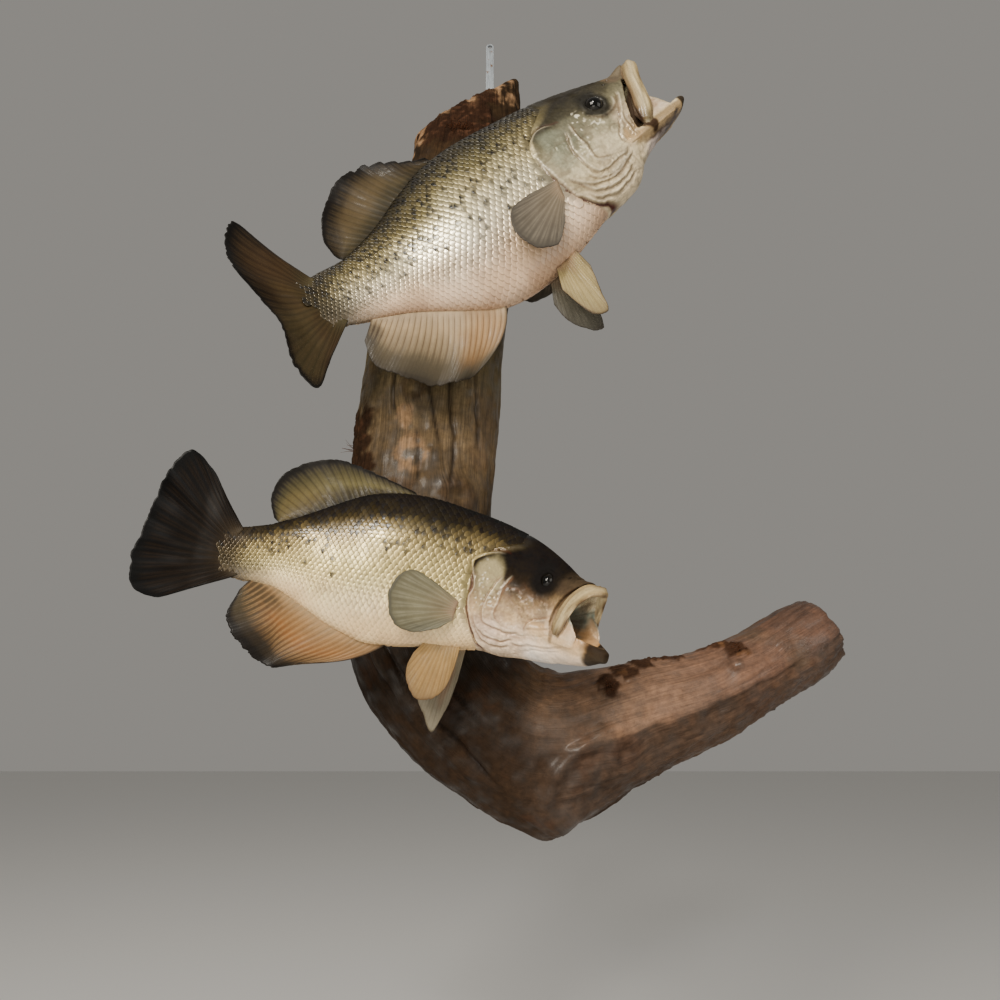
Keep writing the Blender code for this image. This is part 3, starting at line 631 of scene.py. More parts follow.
def outline_distance(outline, t, h):
    """Distance in (t, h) to a closed outline, negative inside it."""
    tt, hh = np.broadcast_arrays(t, h)
    points = np.stack([tt.ravel(), hh.ravel()], axis=-1).astype(float)
    best = np.full(len(points), 999.0)
    inside = np.zeros(len(points), bool)
    corners = np.array(outline, float)
    for start, end in zip(corners, np.roll(corners, -1, axis=0)):
        run = end - start
        best = np.minimum(best, np.linalg.norm(to_stretch(points, start, end)[1], axis=1))
        crosses = (points[:, 1] < start[1]) != (points[:, 1] < end[1])
        level = run[0] * (points[:, 1] - start[1]) / (run[1] if run[1] else 1) + start[0]
        inside ^= crosses & (points[:, 0] < level)
    return (best * np.where(inside, -1, 1)).reshape(tt.shape)


def jaw_frames(fish):
    """Along the right half of the upper jaw's band: its middle, axes and half sizes."""
    mirror = (1, 1, -1, 1, 1)
    half = np.array(fish.upper_jaw, float) * mirror
    table = np.vstack([half[:0:-1] * mirror, half])
    chord = np.r_[0, np.cumsum(np.linalg.norm(np.diff(table[:, :3], axis=0), axis=1))]
    line, sizes = np.hsplit(along(np.c_[chord, table], np.linspace(0, chord[-1], 2 * BAND_STEPS - 1)), (3,))
    tangent = unit(np.gradient(line, axis=0))
    turn = 0.45 - 0.25 * np.abs(np.linspace(-1, 1, len(line)))
    backward = np.stack([np.cos(turn), np.sin(turn), 0 * turn], axis=-1)
    breadth = unit(backward - (tangent * backward).sum(axis=1)[:, None] * tangent)
    depth = np.cross(tangent, breadth)
    keep = slice(BAND_STEPS - 4, None)
    return line[keep], tangent[keep], breadth[keep], depth[keep], sizes[keep]


def jaw_local(fish, points):
    """For (n, 3) points of the right side: share, place along, across and through the band, and its sizes."""
    line, tangent, breadth, depth, sizes = jaw_frames(fish)
    best = np.full(len(points), 1e9)
    pick = np.zeros(len(points), int)
    for i, centre in enumerate(line):
        d = ((points - centre) ** 2).sum(axis=1)
        closer = d < best
        best[closer], pick[closer] = d[closer], i
    gap = points - line[pick]
    lengthways = (gap * tangent[pick]).sum(axis=1)
    across = (gap * breadth[pick]).sum(axis=1)
    through = (gap * depth[pick]).sum(axis=1)
    return pick / (len(line) - 1), lengthways, across, through, sizes[pick]


def band_distance(fish, points):
    """Distance to the band of the upper jaw, a horseshoe of oval section that ends round."""
    _, lengthways, across, through, sizes = jaw_local(fish, points)
    swell = sizes - 0.25
    thick = swell[:, 1] * (1 + 0.12 * np.cos(across / swell[:, 0] * 5))
    flat = oval_distance(across, through, swell[:, 0], thick)
    return np.hypot(np.maximum(flat, 0), np.maximum(np.abs(lengthways) - 0.6, 0)) + np.minimum(flat, 0)


def jaw_distance(fish, t, h, w):
    """Distance to the lower jaw: a squarish boat with a hollow floor, and a rounder keel under it."""
    top, bottom, half = (part.reshape(np.shape(t)) for part in along(fish.lower_jaw, np.ravel(t)).T)
    under, under_half = (part.reshape(np.shape(t)) for part in along(fish.keel, np.ravel(t)).T)
    middle, rise = (top + bottom) / 2, (top - bottom) / 2
    hull = oval_distance(h - middle, w, rise, half, 2.8)
    floor = oval_distance(h - top, w, rise * 1.25, np.maximum(half - 2.2, 0.4), 2.4)
    front, joint = fish.lower_jaw[0][0], fish.lower_jaw[-1][0]
    hull = soft_max(hull, front + 0.3 - t, 1.2)
    hull = np.maximum(hull, t - joint - 8)
    keel = oval_distance(h - bottom - 3, w, bottom + 3 - under, under_half)
    keel = soft_max(keel, fish.keel[0][0] - t, 2)
    keel = np.maximum(keel, t - joint - 8)
    floor = soft_max(floor, front + fish.lip - t, 2)
    return soft_min(soft_max(hull, -floor, 0.8), keel, 0.7)


def mouth_distance(fish, t, h, w, wall=0.0):
    """Distance to the hollow of the mouth, or to the outside of its lining when given a wall."""
    middle, rise, half = (part.reshape(np.shape(t)) for part in along(fish.mouth, np.ravel(t)).T)
    hollow = oval_distance(h - middle, w, rise + wall, half + wall)
    return soft_max(hollow, t - fish.mouth[-1][0] - wall, 4)


def face_outline(fish):
    """The open space in front of the cheeks."""
    return (-60, 60), *fish.face, (-60, -90)


def coat_depth(fish, t, h):
    """How far the skin lies inside the solids: deep where the scales lie, thin on the head."""
    return mix(HEAD_DEPTH, COAT_DEPTH, coat_share(fish, t, h))


def coat_share(fish, t, h):
    edge = coat_edge(fish, h)
    return ease(t, edge - 1.5, edge + 1.5)


def coat_edge(fish, h):
    """The t from which scales lie, at each height."""
    t, height = np.array(fish.coat_from, float)[::-1].T
    return np.interp(h, height, t)


def skin_field(fish, axes):
    """The distance field of the right half of a fish, on the grid, for w from 0 outwards."""
    t, h, w = (a.reshape(s) for a, s in zip(axes, ((-1, 1, 1), (1, -1, 1), (1, 1, -1))))
    body = body_distance(fish, t, h, w) + coat_depth(fish, t, h)
    body = soft_max(body, t - STEM_TO - 1, 5)
    nose = np.array(fish.nose, float)
    blob = np.sqrt(((t - nose[0]) / nose[2]) ** 2 + ((h - nose[1]) / nose[3]) ** 2 + (w / nose[4]) ** 2)
    body = soft_min(body, (blob - 1) * nose[3], 3)
    plane = t[:, :, 0], h[:, :, 0]
    face = outline_distance(face_outline(fish), *plane)[:, :, None]
    skin = soft_max(body, 0.4 - face, 1.6)
    flat = np.stack(np.broadcast_arrays(*plane), axis=-1).reshape(-1, 2)
    gap, _, share = (part.reshape(face.shape) for part in line_distance(flat, smooth_line(fish.pocket, 24)))
    pocket = gap - mix(*fish.pocket_width, share)
    skin = soft_max(skin, -np.maximum(pocket, -(body + fish.pocket_depth)), 0.8)
    head = axes[0] < fish.lower_jaw[-1][0] + 12
    th, front = t[head], skin[head]
    front = soft_min(front, jaw_distance(fish, th, h, w), 1.2)
    hollow = mouth_distance(fish, th, h, w)
    front = soft_max(front, -hollow, 1.0)
    plane = th[:, :, 0], h[:, :, 0]
    lining = np.maximum(mouth_distance(fish, th, h, w, 1.2), -hollow)
    front = soft_min(front, soft_max(lining, outline_distance(fish.lining, *plane)[:, :, None], 0.5), 0.4)
    web = np.abs(w - along(fish.web_width, np.ravel(th)).reshape(th.shape) + 0.02 * (h + 12) ** 2 * 0.4) - 0.6
    front = soft_min(front, soft_max(web, outline_distance(fish.web, *plane)[:, :, None], 0.5), 0.8)
    jaw = np.array(fish.upper_jaw)[:, :3]
    front_axes = (axes[0][head], *axes[1:])
    inside = [np.flatnonzero((a > low) & (a < high))
              for a, low, high in zip(front_axes, jaw.min(axis=0) - 12, jaw.max(axis=0) + 12)]
    grid = np.stack(np.meshgrid(*(a[i] for a, i in zip(front_axes, inside)), indexing="ij"), axis=-1)
    band = band_distance(fish, grid.reshape(-1, 3) * (1, 1, -1)).reshape(grid.shape[:3])
    place = np.ix_(*inside)
    front[place] = soft_min(front[place], band, 0.5)
    skin[head] = front
    return soft_max(skin, EYE_RADIUS - 0.5 - from_eye(fish, t, h, w), 0.8)


def from_eye(fish, t, h, w):
    """Distance from the middle of the glass eye."""
    return np.sqrt((t - fish.eye[0]) ** 2 + (h - fish.eye[1]) ** 2 + (w - EYE_INSET) ** 2)


def crinkles(points):
    """Fine creases of dried skin: 1 on their lines and 0 between them."""
    bent = points * (0.06, 0.17, 0.17) + 0.4 * noise(points / 9, 18)[:, None]
    return np.maximum(bump(noise(bent, 16), 0.13), 0.7 * bump(noise(bent * 1.9, 19), 0.16))


def skin_relief(fish, points):
    """How far each skin point is raised by plates, folds, ridges and rims of the head, and what they are."""
    flat = points[:, :2]
    shaky = shaken(flat, 0.9, 8, 91) + shaken(flat, 0.3, 2.6, 93) - flat
    raised = np.zeros(len(points))
    marks = {}
    for name, kind, height, width, line in fish.relief:
        distance, side, share = line_distance(shaky, smooth_line(line, 60))
        fade = ease(share, 0, 0.1) * ease(share, 1, 0.9)
        signed = distance * side
        if kind == "plate":
            raised += fade * height * ease(signed, -0.8, 0.5) * np.exp(-distance / width)
            raised -= fade * height * bump(signed + 1.4, 0.9)
        elif kind == "fold":
            raised += fade * height * (bump(signed - 0.9, width) - bump(signed + 0.8, 0.75 * width))
        elif kind == "ridge":
            raised += fade * height * bump(distance, width)
        elif kind == "groove":
            raised -= fade * height * bump(distance, width)
        marks[name] = (distance, side, share)
    eye = np.hypot(*(flat - fish.eye).T)
    raised += 0.30 * bump(eye - 8.6, 1.1) - 0.25 * bump(eye - 11.2, 1.2)
    for spot in fish.nostrils:
        hole = np.hypot(*(flat - spot).T)
        raised += 0.35 * bump(hole - 1.7, 0.6) - 1.4 * bump(hole, 0.8)
    marks["eye"] = eye
    return raised, marks


def zones(fish, points):
    """Each skin point moved to the right side, and its distances to the band, the lower jaw and the body."""
    right = np.column_stack([points[:, :2], -np.abs(points[:, 2])])
    t, h, w = points.T
    front = t < fish.lower_jaw[-1][0] + 6
    band = np.full(len(points), 20.0)
    band[front] = band_distance(fish, right[front])
    jaw = np.full(len(points), 20.0)
    jaw[front] = jaw_distance(fish, t[front], h[front], w[front])
    body = np.abs(body_distance(fish, t, h, w) + coat_depth(fish, t, h))
    return right, band, np.abs(jaw), body


def skin_mesh(fish):
    """Straight points, quads and normals of a whole fish's skin, with its zones and marks."""
    reach = fish.grid
    across = np.arange(0.5, 44) * reach
    across = across[across < np.max(np.array(fish.width)[:, 1]) + 2.5]
    front = min(fish.lower_jaw[0][0], fish.upper_jaw[0][0]) - 3
    axes = (rails(front, STEM_TO + 2, 118, reach, reach * 2.3), np.arange(-75, 75, reach * 1.1), across)
    half = skin_field(fish, axes)
    field = np.concatenate([half[:, :, ::-1], half], axis=2)
    points, quads, normal = surface_net(field, (*axes[:2], np.r_[-across[::-1], across]))
    right, band, jaw, body = zones(fish, points)
    raised, marks = skin_relief(fish, points)
    outer = ease(body, 2.4, 0.9) * ease(np.abs(normal[:, 2]), 0.1, 0.4) * ease(band, 0.4, 1.2)
    raised = raised * outer + band_folds(fish, right, band)
    raised += 0.20 * outer * rough_noise(points * (0.42, 0.42, 0.3), 3, 3)
    raised -= 0.30 * outer * crinkles(points) * ease(points[:, 1], 14, 2)
    points = points + normal * np.clip(raised, -2.2, 1.3)[:, None]
    return points, quads, normal, (right, band, jaw), marks


def band_folds(fish, right, band):
    """Folds that run the length of the upper jaw's band."""
    raised = np.zeros(len(right))
    on = np.flatnonzero(band < 1.2)
    share, _, across, _, _ = jaw_local(fish, right[on])
    wander = noise_at(21, share * 4, across * 0.15)
    pleat = np.cos(across * 2 * math.pi / fish.pleat + wander * 2.5)
    raised[on] = fish.pleat_height * pleat * ease(share, 0.04, 0.25) * ease(band[on], 1.2, 0.4)
    return raised


# ---- colours of a fish ----
def ramp(value, stops):
    """A linear colour for each value, from (value, (red, green, blue) of 0 to 255) stops."""
    at = np.array([stop[0] for stop in stops], float)
    table = np.array([linear(*stop[1]) for stop in stops])
    return np.stack([np.interp(value, at, table[:, k]) for k in range(3)], axis=-1)


def tinted(colour, share, paint):
    """colour with a share of the paint over it."""
    return mix(colour, linear(*paint), np.clip(share, 0, 1)[:, None])


def patch_gap(x, y, spot, reach, cloud):
    """Distance from the middle of an oval patch of paint, 1 on its edge, made uneven by the cloud."""
    return np.hypot((x - spot[0]) / reach[0], (y - spot[1]) / reach[1]) + cloud


def level_on_body(fish, t, h):
    """1 on the ridge of the back, 0 on the widest line and -1 on the keel of the belly."""
    middle, above, below, _ = section(fish, t)
    rise = h - middle
    return np.clip(rise / np.where(rise > 0, above, below), -1.1, 1.1)


def body_colour(fish, t, h, w):
    """The flank's colour, dark on the back, silver along the side and warm on the belly."""
    level = level_on_body(fish, t, h)
    side = np.sign(w)
    cloud = rough_at(3, 5, t / 34, h / 22, side * 3.7)
    fleck = noise_at(8, t / 5, h / 6, side * 1.3)
    shifted = level + 0.14 * cloud + 0.05 * fleck + 0.12 * ease(t, 284, 326)
    colour = ramp(shifted, fish.flank)
    colour *= (1 + 0.10 * cloud + 0.06 * fleck)[:, None]
    colour = tinted(colour, 0.95 * ease(t + 8 * cloud + 0.3 * np.abs(h), 286, 334), fish.tail_paint)
    warm = noise_at(12, t / 26, h / 18, side * 2.2)
    return colour * (1 + warm[:, None] * np.array((0.035, 0.0, -0.06)))


def head_colour(fish, t, h, w, marks):
    """Plates of the head: dark above the eye, silver-grey on the cheek, cream below, with painted highlights
    and shade.
    """
    cloud = rough_at(4, 31, t / 13, h / 11, np.sign(w) * 2.1)
    fleck = noise_at(33, t / 1.7, h / 1.7, np.sign(w) * 1.1)
    tilt = fish.tilt * np.minimum(t - 60, 0) + 0.10 * np.maximum(t - 60, 0)
    colour = ramp(h + 4.5 * cloud + tilt, fish.cheek)
    colour = colour * (1 + 0.28 * cloud + 0.24 * fleck)[:, None]
    for spot, reach, share, paint in fish.washes:
        colour = tinted(colour, share * ease(patch_gap(t, h, spot, reach, 0.22 * cloud), 1.15, 0.55), paint)
    # painted highlights: bright silver flecks in patches on the cheek
    glint_noise = noise_at(37, t / 1.9, h / 1.5, np.sign(w) * 0.7) + 0.35 * fleck
    highlight_flecks = ease(glint_noise + 0.5 * cloud, 0.45, 0.75)
    for spot, reach in fish.painted_glints:
        share = highlight_flecks * ease(patch_gap(t, h, spot, reach, 0), 1.2, 0.4)
        colour = tinted(colour, 0.8 * share, (236, 230, 212))
    # painted shade in the groove along each plate and fold, and a painted highlight on its raised edge
    dark, paint = fish.crease_shade
    for name, kind, _, width, _ in fish.relief:
        distance, side, share = marks[name]
        width = 1.0 if kind == "plate" else width
        fade = ease(share, 0, 0.12) * ease(share, 1, 0.88)
        signed = distance * side
        colour = tinted(colour, dark * fade * bump(signed + 0.9, 0.75 * width + 0.2), paint)
        colour = tinted(colour, 0.4 * fade * bump(signed - 0.7, 0.7), fish.crest_highlight)
    # painted shade in the fine creases of the skin
    lines = crinkles(np.stack([t, h, w], axis=-1)) * ease(h, 14, 2)
    colour = tinted(colour, 0.34 * lines, paint)
    colour = tinted(colour, 0.94 * ease(marks["eye"] + 3.5 * cloud, 18, 9), fish.eye_ring)
    return colour


def jaw_colour(fish, t, h, cloud, streak, tip):
    """The lower jaw's paint, with its dark tip."""
    top, bottom = along(fish.lower_jaw, t)[:, :2].T
    down = (h - top) / (top - bottom)
    # for the upper fish the stops hold a stripe of painted shade where the keel meets the jaw
    colour = ramp(down + 0.12 * cloud, fish.jaw_stops) * (1 + 0.14 * cloud + 0.10 * streak)[:, None]
    return tinted(colour, 0.95 * tip, fish.tip)


def mouth_colour(fish, t, h, w, cloud):
    """The palate's paint, with painted shade deep in the throat and folds that run out from it."""
    colour = ramp(np.clip(h / 20 + 0.3 * cloud, -1.4, 1.4), fish.palate)
    # painted shade deep in the mouth
    deep = ease(t + 4 * cloud, fish.mouth_deep - 14, fish.mouth_deep)
    colour = tinted(colour, 0.9 * deep, fish.throat_shade)
    fold = np.arctan2(h - along(fish.mouth, t)[:, 0], w)
    return colour * (1 + 0.35 * noise_at(47, fold * 9, t / 22, 0))[:, None]


def pocket_shade_share(fish, points, normal, band, on_upper_jaw):
    """Share of painted shade: 1 in the groove behind the upper jaw, on its wall and under the jaw, and 0
    elsewhere.
    """
    t, h, w = points.T
    gap, _, down = line_distance(points[:, :2], smooth_line(fish.pocket, 24))
    gap = gap - mix(*fish.pocket_width, down)
    start = fish.pocket[0][0]
    near = ease(gap, fish.pocket_shade_soft, -0.6) * ease(np.abs(w), 4, 8) * ease(t, start - 6, start + 2)
    wall = ease(-normal[:, 0], 0.25, 0.6) * ease(np.abs(w), 4, 7) * ease(gap, 4.5, 1.5)
    wall *= ease(band, 0.6, 1.2)
    near = np.maximum(near, wall * ease(h, 24, 20) * ease(h, -24, -19))
    share, lengthways, across, _, sizes = on_upper_jaw
    past_face = ease(-outline_distance(face_outline(fish), t, h), -1.2, 0.2)
    behind = ease(across / sizes[:, 0], 0.1, 0.6) * past_face * ease(share, 0.04, 0.12)
    behind *= ease(h, -26, -22)
    under = ease(lengthways, 0.4, 1.6) * ease(band, 3.6, 1.8) * ease(share, 0.9, 0.98)
    shade = np.maximum(behind, fish.pocket_shade_wrap * under)
    return np.maximum(near, shade * ease(band, 0.5, 1.0) * ease(np.abs(w), 4, 8))


def band_colour(fish, on_upper_jaw):
    """The upper jaw's paint, with painted shade at its ends and on its inner side."""
    share, _, across, through, sizes = on_upper_jaw
    over = across / sizes[:, 0]
    length = noise_at(53, share * 5, over * 2.4, 0)
    fine = noise_at(54, share * 9, over * 9, 0)
    colour = ramp(over + 0.18 * length, fish.band_stops) * (1 + 0.22 * length + 0.20 * fine)[:, None]
    # painted shade at both ends of the band, in the groove's shade paint
    colour = tinted(colour, 0.6 * ease(share, 0.86, 1.0), fish.pocket_shade_paint)
    at_front = 0.7 * ease(share, 0.12, 0.0) * ease(np.abs(over), 0.5, 0.9)
    colour = tinted(colour, at_front, fish.pocket_shade_paint)
    # painted shade on the band's inner side
    shaded_inner_side = through < -0.4 * sizes[:, 1]
    colour = np.where(shaded_inner_side[:, None], colour * np.array((0.76, 0.70, 0.60)), colour)
    return tinted(colour, 0.85 * ease(share, 0.20, 0.08) * ease(over, -0.7, 0.1), (104, 90, 70))


def skin_colour(fish, points, normal, zone, marks):
    """Colour, shine and gloss of every point of the skin."""
    right, band, jaw = zone
    t, h, w = points.T
    edge = coat_edge(fish, h)
    on_head = ease(t, edge + 0.5, edge - 1.5 - 14 * ease(h, 16, 32))
    colour = mix(body_colour(fish, t, h, w), head_colour(fish, t, h, w, marks), on_head[:, None])
    sheen = ease(noise_at(57, t / 9, h / 7, np.sign(w)), -0.2, 0.6) * ease(h, 18, 2)
    shine = 0.35 * ease(np.abs(level_on_body(fish, t, h)), 0.9, 0.5)
    shine = mix(shine, 0.10 + 0.30 * sheen, on_head)
    distance, side, share = marks["gill"]
    slit = (0.35 + 0.65 * ease(h, 5, -20)) * bump(distance * side + 1.5, 1.2) * ease(share, 0, 0.08)
    colour = tinted(colour, slit, (66, 22, 14))
    cloud = rough_at(3, 41, t / 7, h / 6, w / 7)
    streak = noise_at(43, t / 9, h / 1.6, w / 2.0)
    tip = fish.lower_jaw[0][0] + fish.tip_length * np.array((1, 0.7))
    cloudy_tip = ease(t + 1.5 * cloud, *tip)
    joint = fish.lower_jaw[-1][0]
    on_jaw = ease(jaw, 1.8, 0.7) * ease(t, joint + 4, joint - 12)
    colour = mix(colour, jaw_colour(fish, t, h, cloud, streak, cloudy_tip), on_jaw[:, None])
    in_mouth = ease(mouth_distance(fish, t, h, w), 1.0, 0.1)
    in_mouth *= ease(t, fish.mouth_deep + 30, fish.mouth_deep + 20) * (band >= 0.8)
    colour = mix(colour, mouth_colour(fish, t, h, w, cloud), in_mouth[:, None])
    colour = tinted(colour, 0.95 * in_mouth * ease(h, -6, -10) * cloudy_tip, fish.tip)
    web = ease(-outline_distance(fish.web, t, h), -0.8, 3.5)
    web *= ease(np.abs(w) - along(fish.web_width, t), -3, -1.5)
    web *= ease(band, 0.5, 1.2) * ease(h, -21, -18)
    colour = mix(colour, ramp(streak + cloud, fish.web_paint), (0.8 * web)[:, None])
    on_upper_jaw = jaw_local(fish, right)
    # painted shade in and round the groove behind the upper jaw
    near = pocket_shade_share(fish, points, normal, band, on_upper_jaw)
    colour = tinted(colour, fish.pocket_shade_strength * near, fish.pocket_shade_paint)
    snout = ease(h, 20, 25) * ease(band, 0.5, 1.2) * ease(t, 6, 10) * ease(t, 46, 30)
    colour = mix(colour, linear(*fish.snout) * (1 + 0.45 * cloud[:, None]), (0.85 * snout)[:, None])
    on_band = ease(band, 1.1, 0.35)
    colour = mix(colour, band_colour(fish, on_upper_jaw), on_band[:, None])
    shine = shine * (1 - on_band) * (1 - on_jaw) * (1 - in_mouth)
    # painted shade in the nostril pits
    for spot in fish.nostrils:
        hole = np.hypot(t - spot[0], h - spot[1])
        colour = tinted(colour, 0.9 * bump(hole, 1.1), (20, 16, 12))
    # painted shade in the socket round the glass eye
    socket = ease(from_eye(fish, t, h, np.abs(w)), EYE_RADIUS + 0.8, EYE_RADIUS)
    colour = tinted(colour, 0.9 * socket, (18, 15, 12))
    dark_tip = ease(t, *tip) * np.maximum(on_jaw, in_mouth)
    gloss = 0.27 + 0.14 * ease(cloud, -0.3, 0.8) + 0.30 * dark_tip
    gloss = gloss + on_head * (0.10 + fish.matt_brow * ease(h, 0, 14)) + 0.4 * near
    return np.clip(colour, 0.004, 0.95), np.clip(shine, 0, 1), gloss


# ---- finishes ----
class Finish:
    """Short calls for building a material's nodes."""

    def __init__(self, name):
        self.surface = bpy.data.materials.new(name)
        self.surface.use_nodes = True
        self.nodes = self.surface.node_tree.nodes
        self.shader = self.nodes["Principled BSDF"]

    def value(self, socket, **settings):
        for name, number in settings.items():
            socket.inputs[name.replace("_", " ")].default_value = number

    def add(self, kind, *links, **settings):
        """A node, with its inputs joined to the given sockets and its settings and input numbers set."""
        node = self.nodes.new("ShaderNode" + kind)
        for name, number in settings.items():
            if hasattr(node, name):
                setattr(node, name, number)
            else:
                node.inputs[name.replace("_", " ")].default_value = number
        for where, socket in links:
            self.link(socket, node.inputs[where])
        return node

    def link(self, socket, target):
        if isinstance(target, str):
            target = self.shader.inputs[target]
        self.surface.node_tree.links.new(socket, target)

    def attribute(self, name):
        return self.add("Attribute", attribute_name=name)

    def place(self, stretch):
        """Object coordinates in lumps of the given size in millimetres."""
        where = self.add("TexCoord")
        scale = tuple(1 / (MM * size) for size in np.broadcast_to(stretch, 3))
        return self.add("Mapping", ("Vector", where.outputs["Object"]), Scale=scale).outputs["Vector"]

    def noise(self, stretch, detail=3.0, roughness=0.55):
        where = "Vector", self.place(stretch)
        return self.add("TexNoise", where, Scale=1.0, Detail=detail, Roughness=roughness).outputs["Fac"]

    def spread(self, socket, low, high, to_low, to_high):
        return self.add("MapRange", ("Value", socket), From_Min=low, From_Max=high, To_Min=to_low,
                        To_Max=to_high).outputs["Result"]

    def times(self, first, second):
        """One colour multiplied by another."""
        colours = (6, first), (7, second)
        return self.add("Mix", *colours, data_type="RGBA", blend_type="MULTIPLY", Factor=1.0).outputs[2]

    def grey(self, socket):
        return self.add("CombineColor", ("Red", socket), ("Green", socket), ("Blue", socket)).outputs["Color"]

    def glaze(self, coat, mirror):
        """Roughness, varnish and reflection from the mesh's gloss: two gloss values, then what they give."""
        dull = self.attribute("gloss").outputs["Fac"]
        self.link(dull, "Roughness")
        self.link(self.spread(dull, *coat), "Coat Weight")
        self.link(self.spread(dull, *mirror), "Specular IOR Level")

    def bump(self, socket, height, strength=1.0):
        node = self.add("Bump", ("Height", socket), Strength=strength, Distance=height * MM)
        self.link(node.outputs["Normal"], "Normal")


def plain_finish(name, colour, roughness):
    finish = Finish(name)
    finish.value(finish.shader, Base_Color=(*colour, 1), Roughness=roughness)
    return finish.surface


def varnished(name, grain, depth, coat=0.35, fleck=0.12, spec=0.35):
    """A painted and varnished surface that takes its colour, shine and gloss from the mesh."""
    finish = Finish(name)
    tint = finish.attribute("tint")
    spots = finish.noise(grain, 4, 0.6)
    shade = finish.grey(finish.spread(spots, 0.3, 0.7, 1 - fleck, 1 + fleck))
    finish.link(finish.times(tint.outputs["Color"], shade), "Base Color")
    finish.link(finish.attribute("shine").outputs["Fac"], "Metallic")
    finish.glaze((0.34, 0.6, coat, 0), (0.34, 0.7, spec, 0.3 * spec))
    finish.bump(finish.noise(grain, 3), depth)
    finish.value(finish.shader, Coat_Roughness=0.14)
    return finish.surface


# ---- scales ----
SCALES_FROM = 88.0
GIRTH_STEP = 1.5


class Girth:
    """The side of a body by t and by the distance round it from the widest line, up being positive."""

    def __init__(self, fish):
        self.t = np.arange(SCALES_FROM, 350.0, GIRTH_STEP)
        self.y = np.arange(-96.0, 97.0, 1.0)
        turn = np.linspace(0, math.pi / 2, 90)
        self.table = np.zeros((len(self.t), len(self.y), 2))
        self.reach = np.zeros((len(self.t), 2))
        for i, t in enumerate(self.t):
            middle, above, below, width = (part[0] for part in section(fish, np.array([t])))
            for up, span, power in ((1, above, BACK_SHARPNESS), (-1, below, BELLY_SHARPNESS)):
                h = middle + up * span * np.sin(turn)
                w = width * np.cos(turn) ** power
                run = np.r_[0, np.cumsum(np.hypot(np.diff(h), np.diff(w)))]
                self.reach[i, 0 if up > 0 else 1] = run[-1]
                on = self.y * up >= 0
                self.table[i, on, 0] = np.interp(np.abs(self.y[on]), run, h)
                self.table[i, on, 1] = np.interp(np.abs(self.y[on]), run, w)

    def read(self, t, y):
        """(t, h, w) on the surface, on the side where w is positive."""
        a = np.clip((t - self.t[0]) / GIRTH_STEP, 0, len(self.t) - 1.001)
        b = np.clip(y - self.y[0], 0, len(self.y) - 1.001)
        i, j = a.astype(int), b.astype(int)
        u, v = (a - i)[..., None], (b - j)[..., None]
        flat = (self.table[i, j] * (1 - u) * (1 - v) + self.table[i + 1, j] * u * (1 - v)
                + self.table[i, j + 1] * (1 - u) * v + self.table[i + 1, j + 1] * u * v)
        return np.concatenate([np.asarray(t)[..., None], flat], axis=-1)

    def lift(self, t, y, height):
        """A point that stands a height off the surface."""
        here = self.read(t, y)
        along_t = self.read(t + GIRTH_STEP, y) - self.read(t - GIRTH_STEP, y)
        along_y = self.read(t, y + 1.2) - self.read(t, y - 1.2)
        outward = unit(np.cross(along_t, along_y))
        outward = np.where(outward[..., 2:] < 0, -outward, outward)
        return here + outward * np.asarray(height)[..., None]


def scale_template():
    """One scale: places along it (0 at the root to 1), across it (-1 to 1), 1 if below, and faces."""
    around = 12
    angle = np.arange(around) * 2 * math.pi / around
    rings = (1.0, 0.8, 0.45)
    length = [0.5 + 0.5 * radius * np.cos(angle) for radius in rings]
    across = [radius * np.sin(angle) * (1 - 0.12 * np.cos(angle)) for radius in rings]
    length = np.concatenate([*length, [0.5], length[0]])
    across = np.concatenate([*across, [0.0], across[0]])
    under = np.r_[np.zeros(3 * around + 1), np.ones(around)]
    centre, bottom = 3 * around, 3 * around + 1
    faces = []
    for k in range(around):
        n = (k + 1) % around
        for ring in (0, around):
            inner = ring + around
            faces += [(ring + k, ring + n, inner + n), (ring + k, inner + n, inner + k)]
        faces.append((2 * around + k, 2 * around + n, centre))
        faces += [(bottom + k, bottom + n, n), (bottom + k, n, k)]
        if 0 < k < around - 1:
            faces.append((bottom, bottom + k + 1, bottom + k))
    return length, across, under, np.array(faces)


def scale_roots(fish, girth):
    """t and y of every scale's middle, its size, and numbers for its row and place."""
    pitch, rows = fish.scale_pitch
    size = lambda t: mix(1.0, 0.66, ease(t, 175, 326)) * mix(0.8, 1.0, ease(t, 96, 136))
    stops = [SCALES_FROM]
    while stops[-1] < TAIL_SCALES_TO:
        stops.append(stops[-1] + 0.5 * pitch * size(stops[-1]))
    stops = np.array(stops)
    found = []
    for row in range(-32, 33):
        t = stops[(row % 2)::2]
        y = (row + 0.35) * rows * size(t)
        found.append(np.stack([t, y, size(t), np.full(len(t), row), np.arange(len(t))], axis=-1))
    roots = np.concatenate(found)
    t, y = roots[:, 0], roots[:, 1]
    top = np.interp(t, girth.t, girth.reach[:, 0])
    bottom = -np.interp(t, girth.t, girth.reach[:, 1])
    edge = coat_edge(fish, girth.read(t, y)[:, 1])
    middle = 0.5 * (top + bottom)
    ragged = 6 * noise_at(81, y / 5, t / 60, 0) - 5 * ((y - middle) / (top - middle)) ** 2
    return roots[(y < top + 0.4) & (y > bottom - 0.4) & (t > edge + 1.0) & (t < TAIL_SCALES_TO - 4 + ragged)]


def rough_side(fish, t, y, girth):
    """1 where the scales stand proud, on the flank and back, and 0 on the smooth belly."""
    place = girth.read(t, y)
    return ease(level_on_body(fish, place[:, 0], place[:, 1]), -0.82, -0.42)


def mark_share(fish, t, level):
    """The share of scales with a dark mark on their free edge."""
    most, levels, less, behind, reach, low_levels = fish.marks
    return most * ease(level, *levels) - less + behind * ease(t, *reach) * ease(level, *low_levels)


